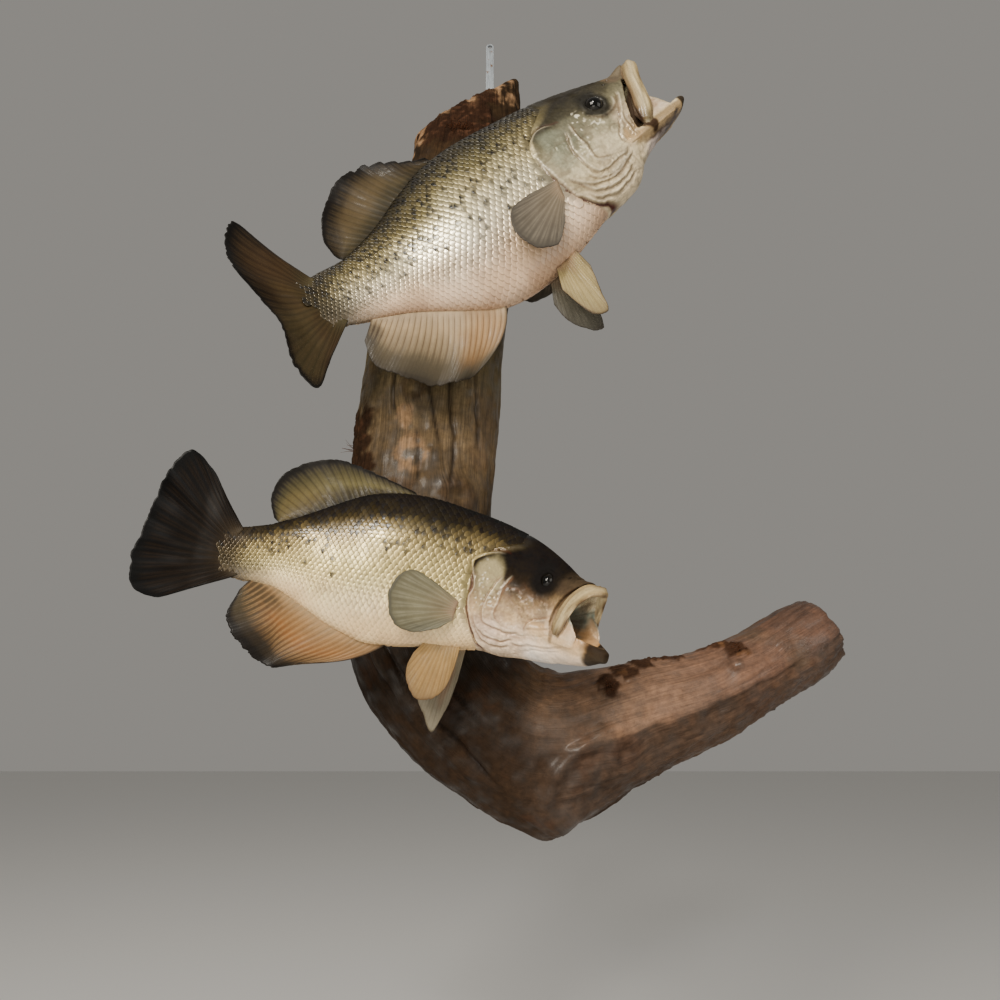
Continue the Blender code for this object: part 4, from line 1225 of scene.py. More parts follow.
def scale_piece(fish, girth, bone, side, name, surface):
    """Every scale of one side of a fish, as one mesh of closed thin plates."""
    length, across, under, faces = scale_template()
    roots = scale_roots(fish, girth)
    t, y, size, row, place = roots.T
    pitch, rows = fish.scale_pitch
    key = np.stack([row * 1.7 + 0.3, place * 1.3 + 0.7 * side, 0 * t + 3.1 * side], axis=-1)
    random = [noise(key * 7.31, seed) for seed in range(61, 65)]
    grow = size * (1 + 0.08 * random[0])
    reach_t = 1.6 * pitch * grow
    reach_y = 1.18 * rows * grow
    lean = 0.16 * random[1] + SCALE_LEAN * y / 70
    tt = t[:, None] + reach_t[:, None] * (length - 0.42)
    yy = y[:, None] + reach_y[:, None] * across + lean[:, None] * reach_t[:, None] * (length - 0.42)
    edge_t = coat_edge(fish, girth.read(tt, yy)[..., 1])
    rough = rough_side(fish, t, y, girth)
    on_fin = ease(t, STEM_TO - 14, STEM_TO + 8)
    tip = mix(mix(0.42, 0.80, rough), 0.42, on_fin) * size * (1 + 0.30 * random[2] * rough)
    dome = mix(0.05, 0.42, rough) * size
    height = -COAT_DEPTH - 0.25 + tip[:, None] * (0.1 + 1.05 * length) + dome[:, None] * (0.8 - across**2)
    height = np.minimum(height, 0.3) - 0.22 * under
    height = np.where(tt < edge_t, np.minimum(height, -COAT_DEPTH - 0.3), height)
    points = girth.lift(tt, yy, height)
    points[..., 2] *= side
    world = bone.place(points.reshape(-1, 3))
    count = len(length)
    all_faces = (faces[None] + count * np.arange(len(t))[:, None, None]).reshape(-1, 3)
    if side < 0:
        all_faces = all_faces[:, ::-1]
    # colour: the body's paint at the root, a brightness of its own, and dark marks on some free edges
    base = girth.read(t, y)
    base[:, 2] *= side
    paint = body_colour(fish, *base.T) * (1 + mix(0.06, 0.24, rough) * random[3])[:, None]
    level = level_on_body(fish, base[:, 0], base[:, 1])
    patch = noise_at(71, base[:, 0] / 17, base[:, 1] / 12, side)
    chance = mark_share(fish, base[:, 0], level) + 0.28 * patch * ease(level, -0.6, 0.1)
    row, place = row.astype(np.int64), place.astype(np.int64)
    own = lattice(row, place, np.full(len(t), 5 + side), 77) * 0.5 + 0.5
    marked = own < chance
    strength = marked * (0.9 + 0.3 * random[0])
    to_side = 0.3 * np.sign(random[1] + 0.15)[:, None]
    edge = ease(length, 0.52, 0.78) * ease(np.abs(across - to_side), 0.85, 0.4)
    # painted shade toward each scale's root and a painted highlight toward its free edge
    painted_relief = (0.25 + 0.75 * rough) * (1 - 0.5 * ease(level, 0.5, 0.85))
    shade = 0.85 * ease(length, 0.45, 0.95) - 0.48 + 0.10 * across * random[2][:, None]
    colour = paint[:, None, :] * (1 + painted_relief[:, None] * shade)[..., None]
    share = np.clip(strength[:, None] * edge, 0, 1)
    colour = mix(colour, linear(*fish.mark_paint), share[..., None]).reshape(-1, 3)
    shine = (0.45 * ease(level, 0.9, 0.4) * ease(level, -0.8, -0.4))[:, None] * (1 - share)
    gloss = 0.40 - 0.17 * rough + 0.10 * random[1] + fish.matt_brow * ease(level, 0.35, 0.8)
    patches = np.stack([
        0.05 + 0.9 * base[:, 0, None] / 400 + 0.003 * (length - 0.5),
        0.5 + 0.45 * y[:, None] / 100 + 0.0015 * across,
    ], axis=-1).reshape(-1, 2)
    mesh_object(name, world, all_faces, surface, np.clip(colour, 0.004, 0.95),
                {"shine": shine.ravel(), "gloss": np.repeat(gloss, count)}, patches)


# ---- fins ----
PARTS_OF_RAY = 8
RAY_RIDGE = 0.15
SCALLOP = 0.006


def fin_piece(fish, bone, name, shape, style, nodes, side, bow, rays, steps):
    """A closed fin blade with branching rays, a web that dips between them and a frayed margin."""
    across = rays * PARTS_OF_RAY + 1
    u = np.linspace(0, 1, across)[:, None]
    v = np.linspace(0, 1, steps)[None, :] ** 0.9
    root, margin = (smooth_line(line, across)[:, None] * (1, 1, side) for line in shape)
    seed = style.seed
    place = u * rays
    phase = place - np.floor(place) - 0.5
    wild = noise_at(seed, place[:, 0] * 1.1, seed)
    ragged = style.fray * (0.5 + 0.5 * noise_at(seed + 1, place[:, 0] * 4.3, 0)) ** 3
    scallop = SCALLOP * (2 * np.abs(phase)) ** 2
    spiny = style.spines * ease(u[:, 0], 0.5, 0.36) * (place[:, 0] % 2 / 2) ** 1.3
    reach = 1 - ragged - scallop[:, 0] - spiny - 0.012 * wild
    stretch = v * mix(1, reach[:, None], ease(v, 0.45, 1.0))
    sheet = root * (1 - stretch[..., None]) + margin * stretch[..., None]
    sheet[..., :2] += (4 * stretch * (1 - stretch) * (1 - u))[..., None] * style.sweep
    swell = bow * np.sin(stretch * math.pi) * (ease(sheet[..., 0], 336, 356) if style.joins else 1)
    sheet[..., 2] += swell + side * stretch * noise_at(seed + 2, u * 5.0, stretch * 1.2 + seed)
    normal = unit(np.cross(np.gradient(sheet, axis=0), np.gradient(sheet, axis=1)))
    split, twig = 0.17 * ease(v, 0.25, 0.7), 0.07 * ease(v, 0.6, 0.95)
    ray = bump(np.abs(np.abs(np.abs(phase) - split) - twig), mix(0.15, 0.065, ease(v, 0.1, 0.9)))
    joints = 0.5 + 0.5 * noise_at(seed + 3, place * 3.0, v * 70)
    thick = mix(style.thick, 0.32, v**0.8) / 2
    thick = thick + RAY_RIDGE * ray * mix(1.0, 0.45, v) * (0.86 + 0.14 * joints)
    thick = (thick + 0.05 * noise_at(seed + 4, place * 2.0, v * 22)) / bone.size
    if style.joins:
        t, h = sheet[..., 0].ravel(), sheet[..., 1].ravel()
        level = np.clip(level_on_body(fish, t, h), -1, 1)
        stem = (section(fish, t)[3] - COAT_DEPTH - 0.2) * np.sqrt(1 - level**2) * ease(t, 350, 340)
        thick = np.maximum(thick, stem.reshape(thick.shape))
    front, behind = sheet + normal * thick[..., None], sheet - normal * thick[..., None]
    world = bone.place(np.concatenate([front, behind]).reshape(-1, 3))
    index = np.arange(2 * across * steps).reshape(2, across, steps)
    grid = [np.stack([layer[:-1, :-1], layer[1:, :-1], layer[1:, 1:], layer[:-1, 1:]], axis=-1).reshape(-1, 4)
            for layer in index]
    grid[1] = grid[1][:, ::-1]
    loop = [(i, 0) for i in range(across - 1)] + [(across - 1, j) for j in range(steps - 1)]
    loop += [(i, steps - 1) for i in range(across - 1, 0, -1)] + [(0, j) for j in range(steps - 1, 0, -1)]
    loop = np.array(loop)
    edge = index[:, loop[:, 0], loop[:, 1]]
    after = np.roll(edge, -1, axis=1)
    grid.append(np.stack([edge[0], edge[1], after[1], after[0]], axis=-1))
    faces = np.concatenate(grid)
    middle = world[index[0]] - world[index[1]]
    first = grid[0]
    turn = np.cross(world[first[:, 1]] - world[first[:, 0]], world[first[:, 3]] - world[first[:, 0]])
    if (turn * middle.reshape(-1, 3)[first[:, 0]]).sum() < 0:
        faces = faces[:, ::-1]
    uu, vv, ray, joints, phase = (a.reshape(-1) for a in np.broadcast_arrays(u, v, ray, joints, phase))
    cloud = rough_at(3, seed + 5, uu * 7, vv * 4, seed)
    streak = noise_at(seed + 6, uu * rays * 1.5, vv * 5, 0)
    colour = ramp(vv + 0.05 * cloud, style.stops)
    for spot, size, share, paint in style.washes:
        colour = tinted(colour, share * ease(patch_gap(uu, vv, spot, size, 0.2 * cloud), 1.15, 0.45), paint)
    strength, paint = style.ray
    strength = strength * ray * (0.7 + 0.3 * joints) * ease(vv, style.ray_to + 0.02, style.ray_to - 0.2)
    colour = tinted(colour, strength, paint)
    strength, paint = style.gap
    valley = bump(0.5 - np.abs(phase), 0.08) * ease(vv, 0.0, 0.15)
    valley = valley * ease(vv, style.ray_to, style.ray_to - 0.3)
    colour = tinted(colour, 0.6 * strength * valley, paint)
    rim, paint = style.edge
    rim = np.maximum.reduce([ease(vv + 0.03 * cloud, 1 - rim, 1 - 0.25 * rim), 0.8 * ease(uu, rim * 0.35, 0),
                             0.6 * ease(uu, 1 - rim * 0.3, 1)])
    colour = tinted(colour, rim, paint)
    colour = style.depth * colour * (1 + 0.14 * cloud + 0.09 * streak + 0.08 * (joints - 0.5))[:, None]
    surface = varnished(name + "_finish", (0.5, 0.5, 0.5), 0.03, 0.08, 0.10, 0.2)
    full = np.clip(np.tile(colour, (2, 1)), 0.0008, 0.95)
    gloss = 0.50 + 0.08 * np.tile(streak, 2)
    piece = mesh_object(name, world, faces, surface, full, {"shine": 0 * gloss, "gloss": gloss})
    if nodes:
        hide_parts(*nodes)


def fin_style(seed, stops, washes, ray, gap, edge, **own):
    """Colours from root to margin, patches, and the share and paint of the rays, the web and the margin."""
    usual = dict(fray=0.012, spines=0.0, thick=1.5, depth=0.6, sweep=(0, 0), ray_to=1.0, joins=False)
    usual.update(seed=seed, stops=stops, washes=washes, ray=ray, gap=gap, edge=edge, **own)
    return SimpleNamespace(**usual)


FIN_STYLES = dict(
    dorsal=fin_style(
        101,
        ((0, (72, 66, 46)), (0.18, (104, 93, 64)), (0.45, (132, 114, 78)), (0.66, (100, 84, 58)),
         (0.85, (54, 45, 35))),
        (((0.6, 0.5), (0.30, 0.30), 0.6, (162, 138, 98)), ((0.92, 0.7), (0.18, 0.5), 0.6, (84, 76, 66)),
         ((0.12, 0.5), (0.2, 0.7), 0.5, (66, 56, 42))),
        (0.30, (150, 128, 92)), (0.5, (40, 32, 24)), (0.16, (34, 27, 23)), spines=0.10, depth=0.22),
    anal=fin_style(
        111,
        ((0, (198, 176, 148)), (0.3, (186, 162, 130)), (0.55, (146, 128, 103)), (0.7, (98, 88, 71)),
         (1, (66, 60, 50))),
        (((0.16, 0.4), (0.22, 0.45), 0.5, (176, 128, 78)), ((0.97, 0.6), (0.12, 0.7), 0.8, (76, 70, 62))),
        (0.30, (206, 184, 152)), (1.2, (80, 56, 38)), (0.07, (60, 54, 46)), sweep=(-5.5, -5), ray_to=0.78),
    caudal=fin_style(
        121,
        ((0, (118, 110, 80)), (0.15, (92, 80, 54)), (0.4, (84, 62, 40)), (0.7, (58, 44, 32)),
         (1, (34, 28, 24))),
        (((0.25, 0.5), (0.2, 0.35), 0.55, (104, 80, 54)), ((0.02, 0.85), (0.16, 0.5), 0.85, (30, 27, 26)),
         ((0.72, 0.6), (0.2, 0.5), 0.8, (104, 92, 64)), ((0.5, 0.35), (0.2, 0.25), 0.4, (112, 96, 62))),
        (0.32, (128, 106, 74)), (0.45, (30, 24, 19)), (0.09, (24, 20, 18)),
        fray=0.03, depth=0.30, joins=True),
    pectoral=fin_style(
        131, ((0, (176, 152, 126)), (0.2, (132, 120, 104)), (0.6, (112, 104, 94)), (1, (92, 88, 82))),
        (), (0.4, (160, 150, 136)), (0.35, (78, 70, 62)), (0.06, (80, 74, 68)), thick=1.1),
    pelvic=fin_style(
        141, ((0, (206, 170, 138)), (0.25, (192, 172, 122)), (0.7, (186, 168, 122)), (1, (150, 132, 100))),
        (((0.0, 0.6), (0.12, 0.9), 0.6, (96, 80, 64)),),
        (0.3, (214, 198, 152)), (0.5, (126, 104, 70)), (0.06, (92, 78, 64)), thick=1.1),
    far_pelvic=fin_style(
        151, ((0, (170, 150, 128)), (0.4, (118, 114, 102)), (1, (92, 90, 84))),
        (), (0.25, (140, 136, 124)), (0.4, (80, 76, 70)), (0.06, (76, 70, 64)), thick=1.1),
)
SECOND_STYLES = dict(
    dorsal=fin_style(
        201,
        ((0, (52, 44, 30)), (0.2, (104, 92, 58)), (0.45, (158, 146, 94)), (0.66, (128, 118, 80)),
         (0.86, (66, 60, 54))),
        (((0.85, 0.4), (0.25, 0.3), 0.5, (166, 142, 90)), ((0.1, 0.6), (0.18, 0.6), 0.5, (84, 74, 58))),
        (0.25, (176, 164, 116)), (0.8, (44, 36, 26)), (0.15, (40, 36, 32)), spines=0.05, depth=0.29),
    anal=fin_style(
        211,
        ((0, (186, 162, 126)), (0.2, (172, 132, 88)), (0.45, (152, 104, 60)), (0.62, (104, 80, 54)),
         (0.78, (56, 47, 36)), (1, (34, 29, 23))),
        (((0.95, 0.5), (0.26, 0.8), 0.9, (80, 70, 52)), ((0.05, 0.5), (0.14, 0.6), 0.4, (150, 120, 84))),
        (0.55, (204, 162, 114)), (0.6, (92, 60, 36)), (0.13, (26, 22, 20)), sweep=(-5, -5), ray_to=0.8),
    caudal=fin_style(
        221,
        ((0, (168, 146, 112)), (0.14, (104, 84, 58)), (0.3, (56, 42, 27)), (0.6, (38, 27, 16)),
         (1, (18, 13, 9))),
        (((0.85, 0.5), (0.2, 0.4), 0.5, (66, 48, 32)),),
        (0.42, (112, 84, 54)), (0.5, (22, 16, 10)), (0.12, (18, 14, 10)), depth=0.12, joins=True),
    pectoral=fin_style(
        231, ((0, (184, 152, 126)), (0.14, (148, 134, 108)), (0.5, (132, 126, 102)), (1, (110, 106, 86))),
        (((0.9, 0.5), (0.2, 0.7), 0.3, (104, 108, 104)),),
        (0.45, (170, 168, 146)), (0.3, (98, 96, 80)), (0.05, (92, 90, 78)), thick=1.2),
    pelvic=fin_style(
        241, ((0, (196, 168, 128)), (0.3, (174, 142, 94)), (0.7, (168, 134, 86)), (1, (146, 118, 80))),
        (), (0.25, (214, 184, 132)), (0.6, (126, 94, 56)), (0.04, (134, 108, 78)), thick=1.2),
    far_pelvic=fin_style(
        251, ((0, (180, 160, 134)), (0.4, (156, 146, 126)), (1, (140, 132, 116))),
        (((0.4, 0.4), (0.2, 0.3), 0.4, (150, 98, 70)),), (0.3, (184, 176, 156)), (0.4, (98, 88, 72)),
        (0.04, (110, 100, 84)), thick=1.2),
)


def fins_of(fish, bone, prefix, styles, own_nodes):
    """All seven fins of a fish. The upper fish's stand for solids of their own."""
    for kind, shape, bow in (("dorsal", fish.dorsal, 2), ("anal", fish.anal, -2), ("caudal", fish.caudal, 3)):
        nodes = (f"{kind}_fin",) if own_nodes else ()
        fin_piece(fish, bone, prefix + kind, shape, styles[kind], nodes, 1, bow, 24, 40)
    for kind, shape, word, side in (("pectoral", fish.near_pectoral, "right", -1),
                                    ("pectoral", fish.far_pectoral, "left", 1),
                                    ("pelvic", fish.near_pelvic, "right", -1),
                                    ("far_pelvic", fish.far_pelvic, "left", 1)):
        plain = kind.replace("far_", "")
        nodes = (f"{plain}_fin_{word}",) if own_nodes else ()
        fin_piece(fish, bone, f"{prefix}{plain}_{word}", shape, styles[kind], nodes, side, 0, 13, 28)


# ---- eyes ----
IRIS = ((0, (3, 3, 3)), (4.4, (3, 3, 3)), (4.7, (30, 25, 17)), (5.0, (18, 15, 12)), (6.2, (18, 16, 13)),
        (7, (9, 8, 7)))


def eye_piece(fish, bone, name, side, surface, nodes):
    """A glass eye: a deep pupil, an iris that shows at its edge, and a slight bulge in front."""
    around, down = 48, 30
    fall = np.linspace(0, math.pi, down + 1)[1:-1]
    turn = np.arange(around) * 2 * math.pi / around
    ring = np.stack([np.outer(np.sin(fall), np.cos(turn)), np.outer(np.sin(fall), np.sin(turn)),
                     np.outer(np.cos(fall), np.ones(around))], axis=-1).reshape(-1, 3)
    ball = np.vstack([ring, (0, 0, 1), (0, 0, -1)])
    radius = EYE_RADIUS - 0.2
    bulge = 1 + 0.03 * ease(ball[:, 2], 0.5, 1)
    points = ball * (radius * bulge)[:, None] * (1, 1, side) + (*fish.eye, side * EYE_INSET)
    top = len(ring)
    index = np.arange(len(ring)).reshape(-1, around)
    after = np.roll(index, -1, axis=1)
    faces = [np.stack([index[:-1], index[1:], after[1:]], axis=-1).reshape(-1, 3),
             np.stack([index[:-1], after[1:], after[:-1]], axis=-1).reshape(-1, 3),
             np.stack([np.full(around, top), index[0], after[0]], axis=-1),
             np.stack([np.full(around, top + 1), after[-1], index[-1]], axis=-1)]
    faces = np.concatenate(faces)
    if side < 0:
        faces = faces[:, ::-1]
    out = np.hypot(ball[:, 0], ball[:, 1]) * radius
    colour = ramp(np.where(ball[:, 2] > 0, out, 9), IRIS) * (1 + 0.3 * noise(ball * 9, 301)[:, None])
    piece = mesh_object(name, bone.place(points), faces, surface, np.clip(colour, 0.002, 1), {})
    if nodes:
        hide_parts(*nodes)


def eye_finish():
    finish = Finish("glass_eye")
    finish.link(finish.attribute("tint").outputs["Color"], "Base Color")
    finish.link(finish.spread(finish.noise(1.2), 0.3, 0.7, 0.05, 0.12), "Roughness")
    finish.value(finish.shader, Coat_Weight=0.5, Coat_Roughness=0.02, Specular_IOR_Level=0.1)
    return finish.surface


# ---- driftwood ----
# A limb is x and z of its middle, half its breadth, and its depth from the wall.
TRUNK = ((-17, -34, 43, 44), (-18, -120, 45, 52), (-20, -180, 47, 68), (-28, -250, 49, 76),
         (-40, -340, 52, 77), (-45, -420, 52, 77), (-48, -500, 51, 78), (-43, -555, 55, 76),
         (-19, -602, 50, 72), (17, -636, 41, 66), (56, -679, 22.5, 56))
BRANCH = ((-30, -590, 34, 60), (0, -614, 43, 68), (28, -630, 48, 72), (54, -631, 46, 73),
          (80, -623, 41.5, 71), (110, -613.5, 36.3, 68), (150, -601, 31, 64), (190, -582, 27.5, 60),
          (225, -562, 26, 55), (238, -554, 23, 50))
# The widest line of a limb lies SEAT of its depth off the wall, and its flat back is BACK_WIDTH as broad.
# The top is cut off through TOP_AT (x, y, z) and rises by the slopes to the right and to the wall.
BACK_WIDTH = 0.8
SEAT = 0.45
RIGHT_END = 250.0
WALL_SIDE = -0.3
TOP_AT = (23, -45, -74)
TOP_SLOPE_X, TOP_SLOPE_Y = 0.72, 0.75


class Limb:
    """Reads a limb at world points: distance to its surface, place along it and place round it."""

    def __init__(self, table, round_end):
        table = np.array(table, float)
        chord = np.r_[0, np.cumsum(np.linalg.norm(np.diff(table[:, :2], axis=0), axis=1))]
        self.at = np.linspace(0, chord[-1], 90)
        self.line = along(np.c_[chord, table], self.at)
        self.round_end = round_end

    def plan(self, x, z):
        """For points of the wall plane: place along, offset across, half breadth, depth, and overshoot."""
        points = np.stack([x.ravel(), z.ravel()], axis=-1)
        best = np.full(len(points), 1e9)
        out = np.zeros((len(points), 5))
        for i, (start, end) in enumerate(zip(self.line, self.line[1:])):
            run = end[:2] - start[:2]
            raw = ((points - start[:2]) @ run) / (run @ run)
            u = np.clip(raw, 0, 1)
            gap = points - start[:2] - u[:, None] * run
            d = (gap**2).sum(axis=1)
            closer = d < best
            best[closer] = d[closer]
            size = start[2:] + (end - start)[2:] * u[:, None]
            long = np.linalg.norm(run)
            offset = (run[0] * (points - start[:2])[:, 1] - run[1] * (points - start[:2])[:, 0]) / long
            first, last = i == 0, i == len(self.line) - 2
            place = self.at[i] + np.clip(raw, -99 if first else 0, 99 if last else 1) * long
            over = np.maximum(-place, place - self.at[-1])
            row = np.stack([place, offset, size[:, 0], size[:, 1], over], axis=-1)
            out[closer] = row[closer]
        return out.reshape(*x.shape, 5)

    def distance(self, plan, y):
        _, offset, half, depth, over = np.moveaxis(plan, -1, 0)
        seat = SEAT * depth
        out = -y - seat
        reach = np.where(out > 0, depth - seat, seat / math.sqrt(1 - BACK_WIDTH**2))
        side = oval_distance(offset, out, half, reach, 2.15)
        return soft_max(side, over, self.round_end)


def wood_field(trunk, branch, axes):
    """Distance to the bare form of the wood."""
    x, z = np.meshgrid(axes[0], axes[2], indexing="ij")
    plans = [limb.plan(x, z)[:, None, :, :] for limb in (trunk, branch)]
    y = axes[1][None, :, None]
    first, second = (limb.distance(plan, y) for limb, plan in zip((trunk, branch), plans))
    wood = soft_min(first, second, 16)
    slope = math.sqrt(1 + TOP_SLOPE_X**2 + TOP_SLOPE_Y**2)
    height = axes[2][None, None, :] - TOP_AT[2]
    across = axes[0][:, None, None] - TOP_AT[0]
    above = (height - across * TOP_SLOPE_X - (y - TOP_AT[1]) * TOP_SLOPE_Y) / slope
    wood = soft_max(wood, above + 0.5, 7)
    return np.maximum(wood, y + 0.8)


def spot_share(points, spots, seed, rough=0.35):
    """1 inside patches given as (x, z, breadth, height), with ragged edges, and 0 outside."""
    share = np.zeros(len(points))
    ragged = rough * rough_noise(points / 7, 3, seed)
    for x, z, breadth, height in spots:
        gap = np.hypot((points[:, 0] - x) / breadth, (points[:, 2] - z) / height) + ragged
        share = np.maximum(share, ease(gap, 1.15, 0.75))
    return share


# Patches of loose bark, bare pale wood and dark bark are (x, z, breadth, height), and knots (x, z, size).
RUSTY = ((-26, -146, 34, 20), (-14, -124, 20, 18), (-2, -100, 12, 17), (-94, -420, 15, 24),
         (-90, -446, 13, 16))
PALE = ((9, -84, 15, 20), (-14, -106, 6, 14), (-37, -116, 9, 14), (-60, -136, 12, 24), (-57, -412, 6, 9),
        (-52, -440, 12, 16))
DARK_BARK = ((80, -597, 6, 9), (92, -587, 9, 5), (104, -582, 7, 3.5), (160, -566, 6, 4), (168, -571, 10, 5),
             (150, -567, 7, 3), (120, -577, 12, 3))
KNOTS = ((164, -582, 8), (88, -638, 13), (-28, -605, 16), (-52, -392, 14), (-20, -470, 18), (-62, -250, 12),
         (10, -300, 10), (200, -570, 6))
# Cracks are points of (x, z) down the front, and their depth.
CRACKS = (
    (((-67, -330), (-66.5, -380), (-66, -402), (-63, -414)), 2.6),
    (((-40, -340), (-40.5, -378), (-37.5, -412), (-30, -440)), 2.2),
    (((-27, -360), (-26, -398), (-22, -428), (-24, -470)), 2.4),
    (((-50, -420), (-46, -440), (-48, -462)), 1.8),
    (((-5, -330), (-8, -380), (-2, -440)), 1.6),
    (((-72, -560), (-48, -598), (-16, -632), (14, -662)), 2.6),
    (((-60, -545), (-30, -590), (4, -622)), 2.0),
    (((-88, -520), (-78, -570), (-52, -612)), 1.8),
    (((2, -110), (4, -150), (2, -190)), 2.0),
    (((-34, -108), (-33, -140), (-36, -170)), 1.6),
    (((96, -632), (140, -614), (186, -592), (222, -574)), 0.6),
    (((110, -598), (150, -584), (200, -560)), 0.4),
)
RIDGES = (
    (((88, -618), (66, -630), (47, -646), (38, -664), (34, -680)), 3.4, 5.0),
    (((100, -634), (78, -640), (60, -652), (48, -668)), 1.2, 4.5),
    (((-84, -560), (-60, -596), (-28, -634), (6, -664)), 2.8, 5.0),
)


# Paint by z down the trunk, and by the place along the branch, above and below.
TRUNK_PAINT = ((-690, (50, 37, 27)), (-650, (44, 32, 23)), (-600, (32, 23, 15)), (-520, (42, 32, 22)),
               (-470, (76, 62, 45)), (-420, (92, 77, 58)), (-370, (76, 67, 49)), (-300, (70, 61, 45)),
               (-200, (48, 38, 26)), (-150, (40, 28, 17)), (-80, (46, 34, 22)))
BRANCH_PAINT = ((60, (88, 68, 50)), (110, (107, 82, 63)), (150, (112, 86, 68)), (200, (106, 79, 63)),
                (260, (88, 64, 51)), (320, (78, 56, 45)))
UNDER_PAINT = ((60, (60, 46, 37)), (130, (66, 51, 41)), (220, (76, 58, 46)), (320, (80, 60, 48)))


def from_knots(x, z):
    """For each knot, how far each point is from it, and its size."""
    return [(np.hypot(x - middle_x, z - middle_z), size) for middle_x, middle_z, size in KNOTS]


def wavy(grain):
    """Places in the grain, moved a little sideways in long waves."""
    return grain + (0, 3, 0) * noise(grain / (90, 30, 1), 401)[:, None]


def wood_detail(points, normal, trunk, branch):
    """How far the surface is raised by grain, cracks, ridges, knots and bark, with its grain and patches."""
    plans = [limb.plan(points[:, 0], points[:, 2]) for limb in (trunk, branch)]
    shares = [limb.distance(plan, points[:, 1]) for limb, plan in zip((trunk, branch), plans)]
    on_branch = ease(shares[0] - shares[1], -7, 9)
    grains = []
    for plan in plans:
        place, offset, _, depth, _ = plan.T
        turn = np.arctan2(-points[:, 1] - SEAT * depth, offset)
        swirl = 0 * place
        for gap, size in from_knots(points[:, 0], points[:, 2]):
            swirl = swirl + bump(gap, size) * size * 0.45 * np.sign(offset + 0.01)
        grains.append(np.stack([place, turn * 45 + swirl, 0 * place], axis=-1))
    front = ease(-normal[:, 1], -0.2, 0.3)
    raised = np.zeros(len(points))
    for grain, weight in zip(grains, (1 - on_branch, on_branch)):
        wander = wavy(grain)
        broad = 2.3 * noise(wander / (75, 17, 1), 402) + 1.1 * noise(wander / (40, 7, 1), 403)
        fine = 0.62 * noise(wander / (34, 3.4, 1), 404) + 0.30 * noise(wander / (16, 1.9, 1), 405)
        raised += weight * (0.6 * broad + 0.8 * fine)
    raised += 0.9 * noise(points / 38, 406) + 0.5 * rough_noise(points / 9, 2, 407)
    flat = points[:, (0, 2)]
    crack_shade_share = np.zeros(len(points))
    shaky = shaken(flat, 1.1, 9, 408)
    for line, deep in CRACKS:
        distance, _, share = line_distance(shaky, smooth_line(line, 40))
        fade = ease(share, 0, 0.15) * ease(share, 1, 0.85) * front
        raised -= deep * fade * bump(distance, 1.25)
        # how much painted shade each crack gets
        crack_shade_share = np.maximum(crack_shade_share, fade * min(1, 0.45 * deep) * bump(distance, 1.2))
    for line, tall, width in RIDGES:
        distance, side, share = line_distance(flat, smooth_line(line, 40))
        fade = ease(share, 0, 0.2) * ease(share, 1, 0.8) * front
        raised += tall * fade * (bump(distance, width) - 0.5 * bump(distance * side + width * 1.3, width))
    for gap, size in from_knots(points[:, 0], points[:, 2]):
        width = 0.3 * size
        raised += front * (0.10 * size * bump(gap - 0.55 * size, width) - 0.10 * size * bump(gap, width))
    rusty = spot_share(points, RUSTY, 411) * front
    bark = spot_share(points, DARK_BARK, 412, 0.5) * front
    raised += rusty * (0.4 + 1.5 * np.abs(rough_noise(points / 3.4, 2, 413)))
    raised += bark * (1.0 + 1.3 * rough_noise(points / 2.6, 2, 414))
    lower = ease(plans[1][:, 1] + 3.5 * noise(flat / 12, 415), -3, -6)
    lower = lower * on_branch * ease(plans[1][:, 0], 60, 100)
    raised -= 1.3 * lower * front
    raised += 0.8 * lower * rough_noise(points / (6, 3, 3), 2, 416)
    return raised, on_branch, grains, front, crack_shade_share, rusty, bark, lower


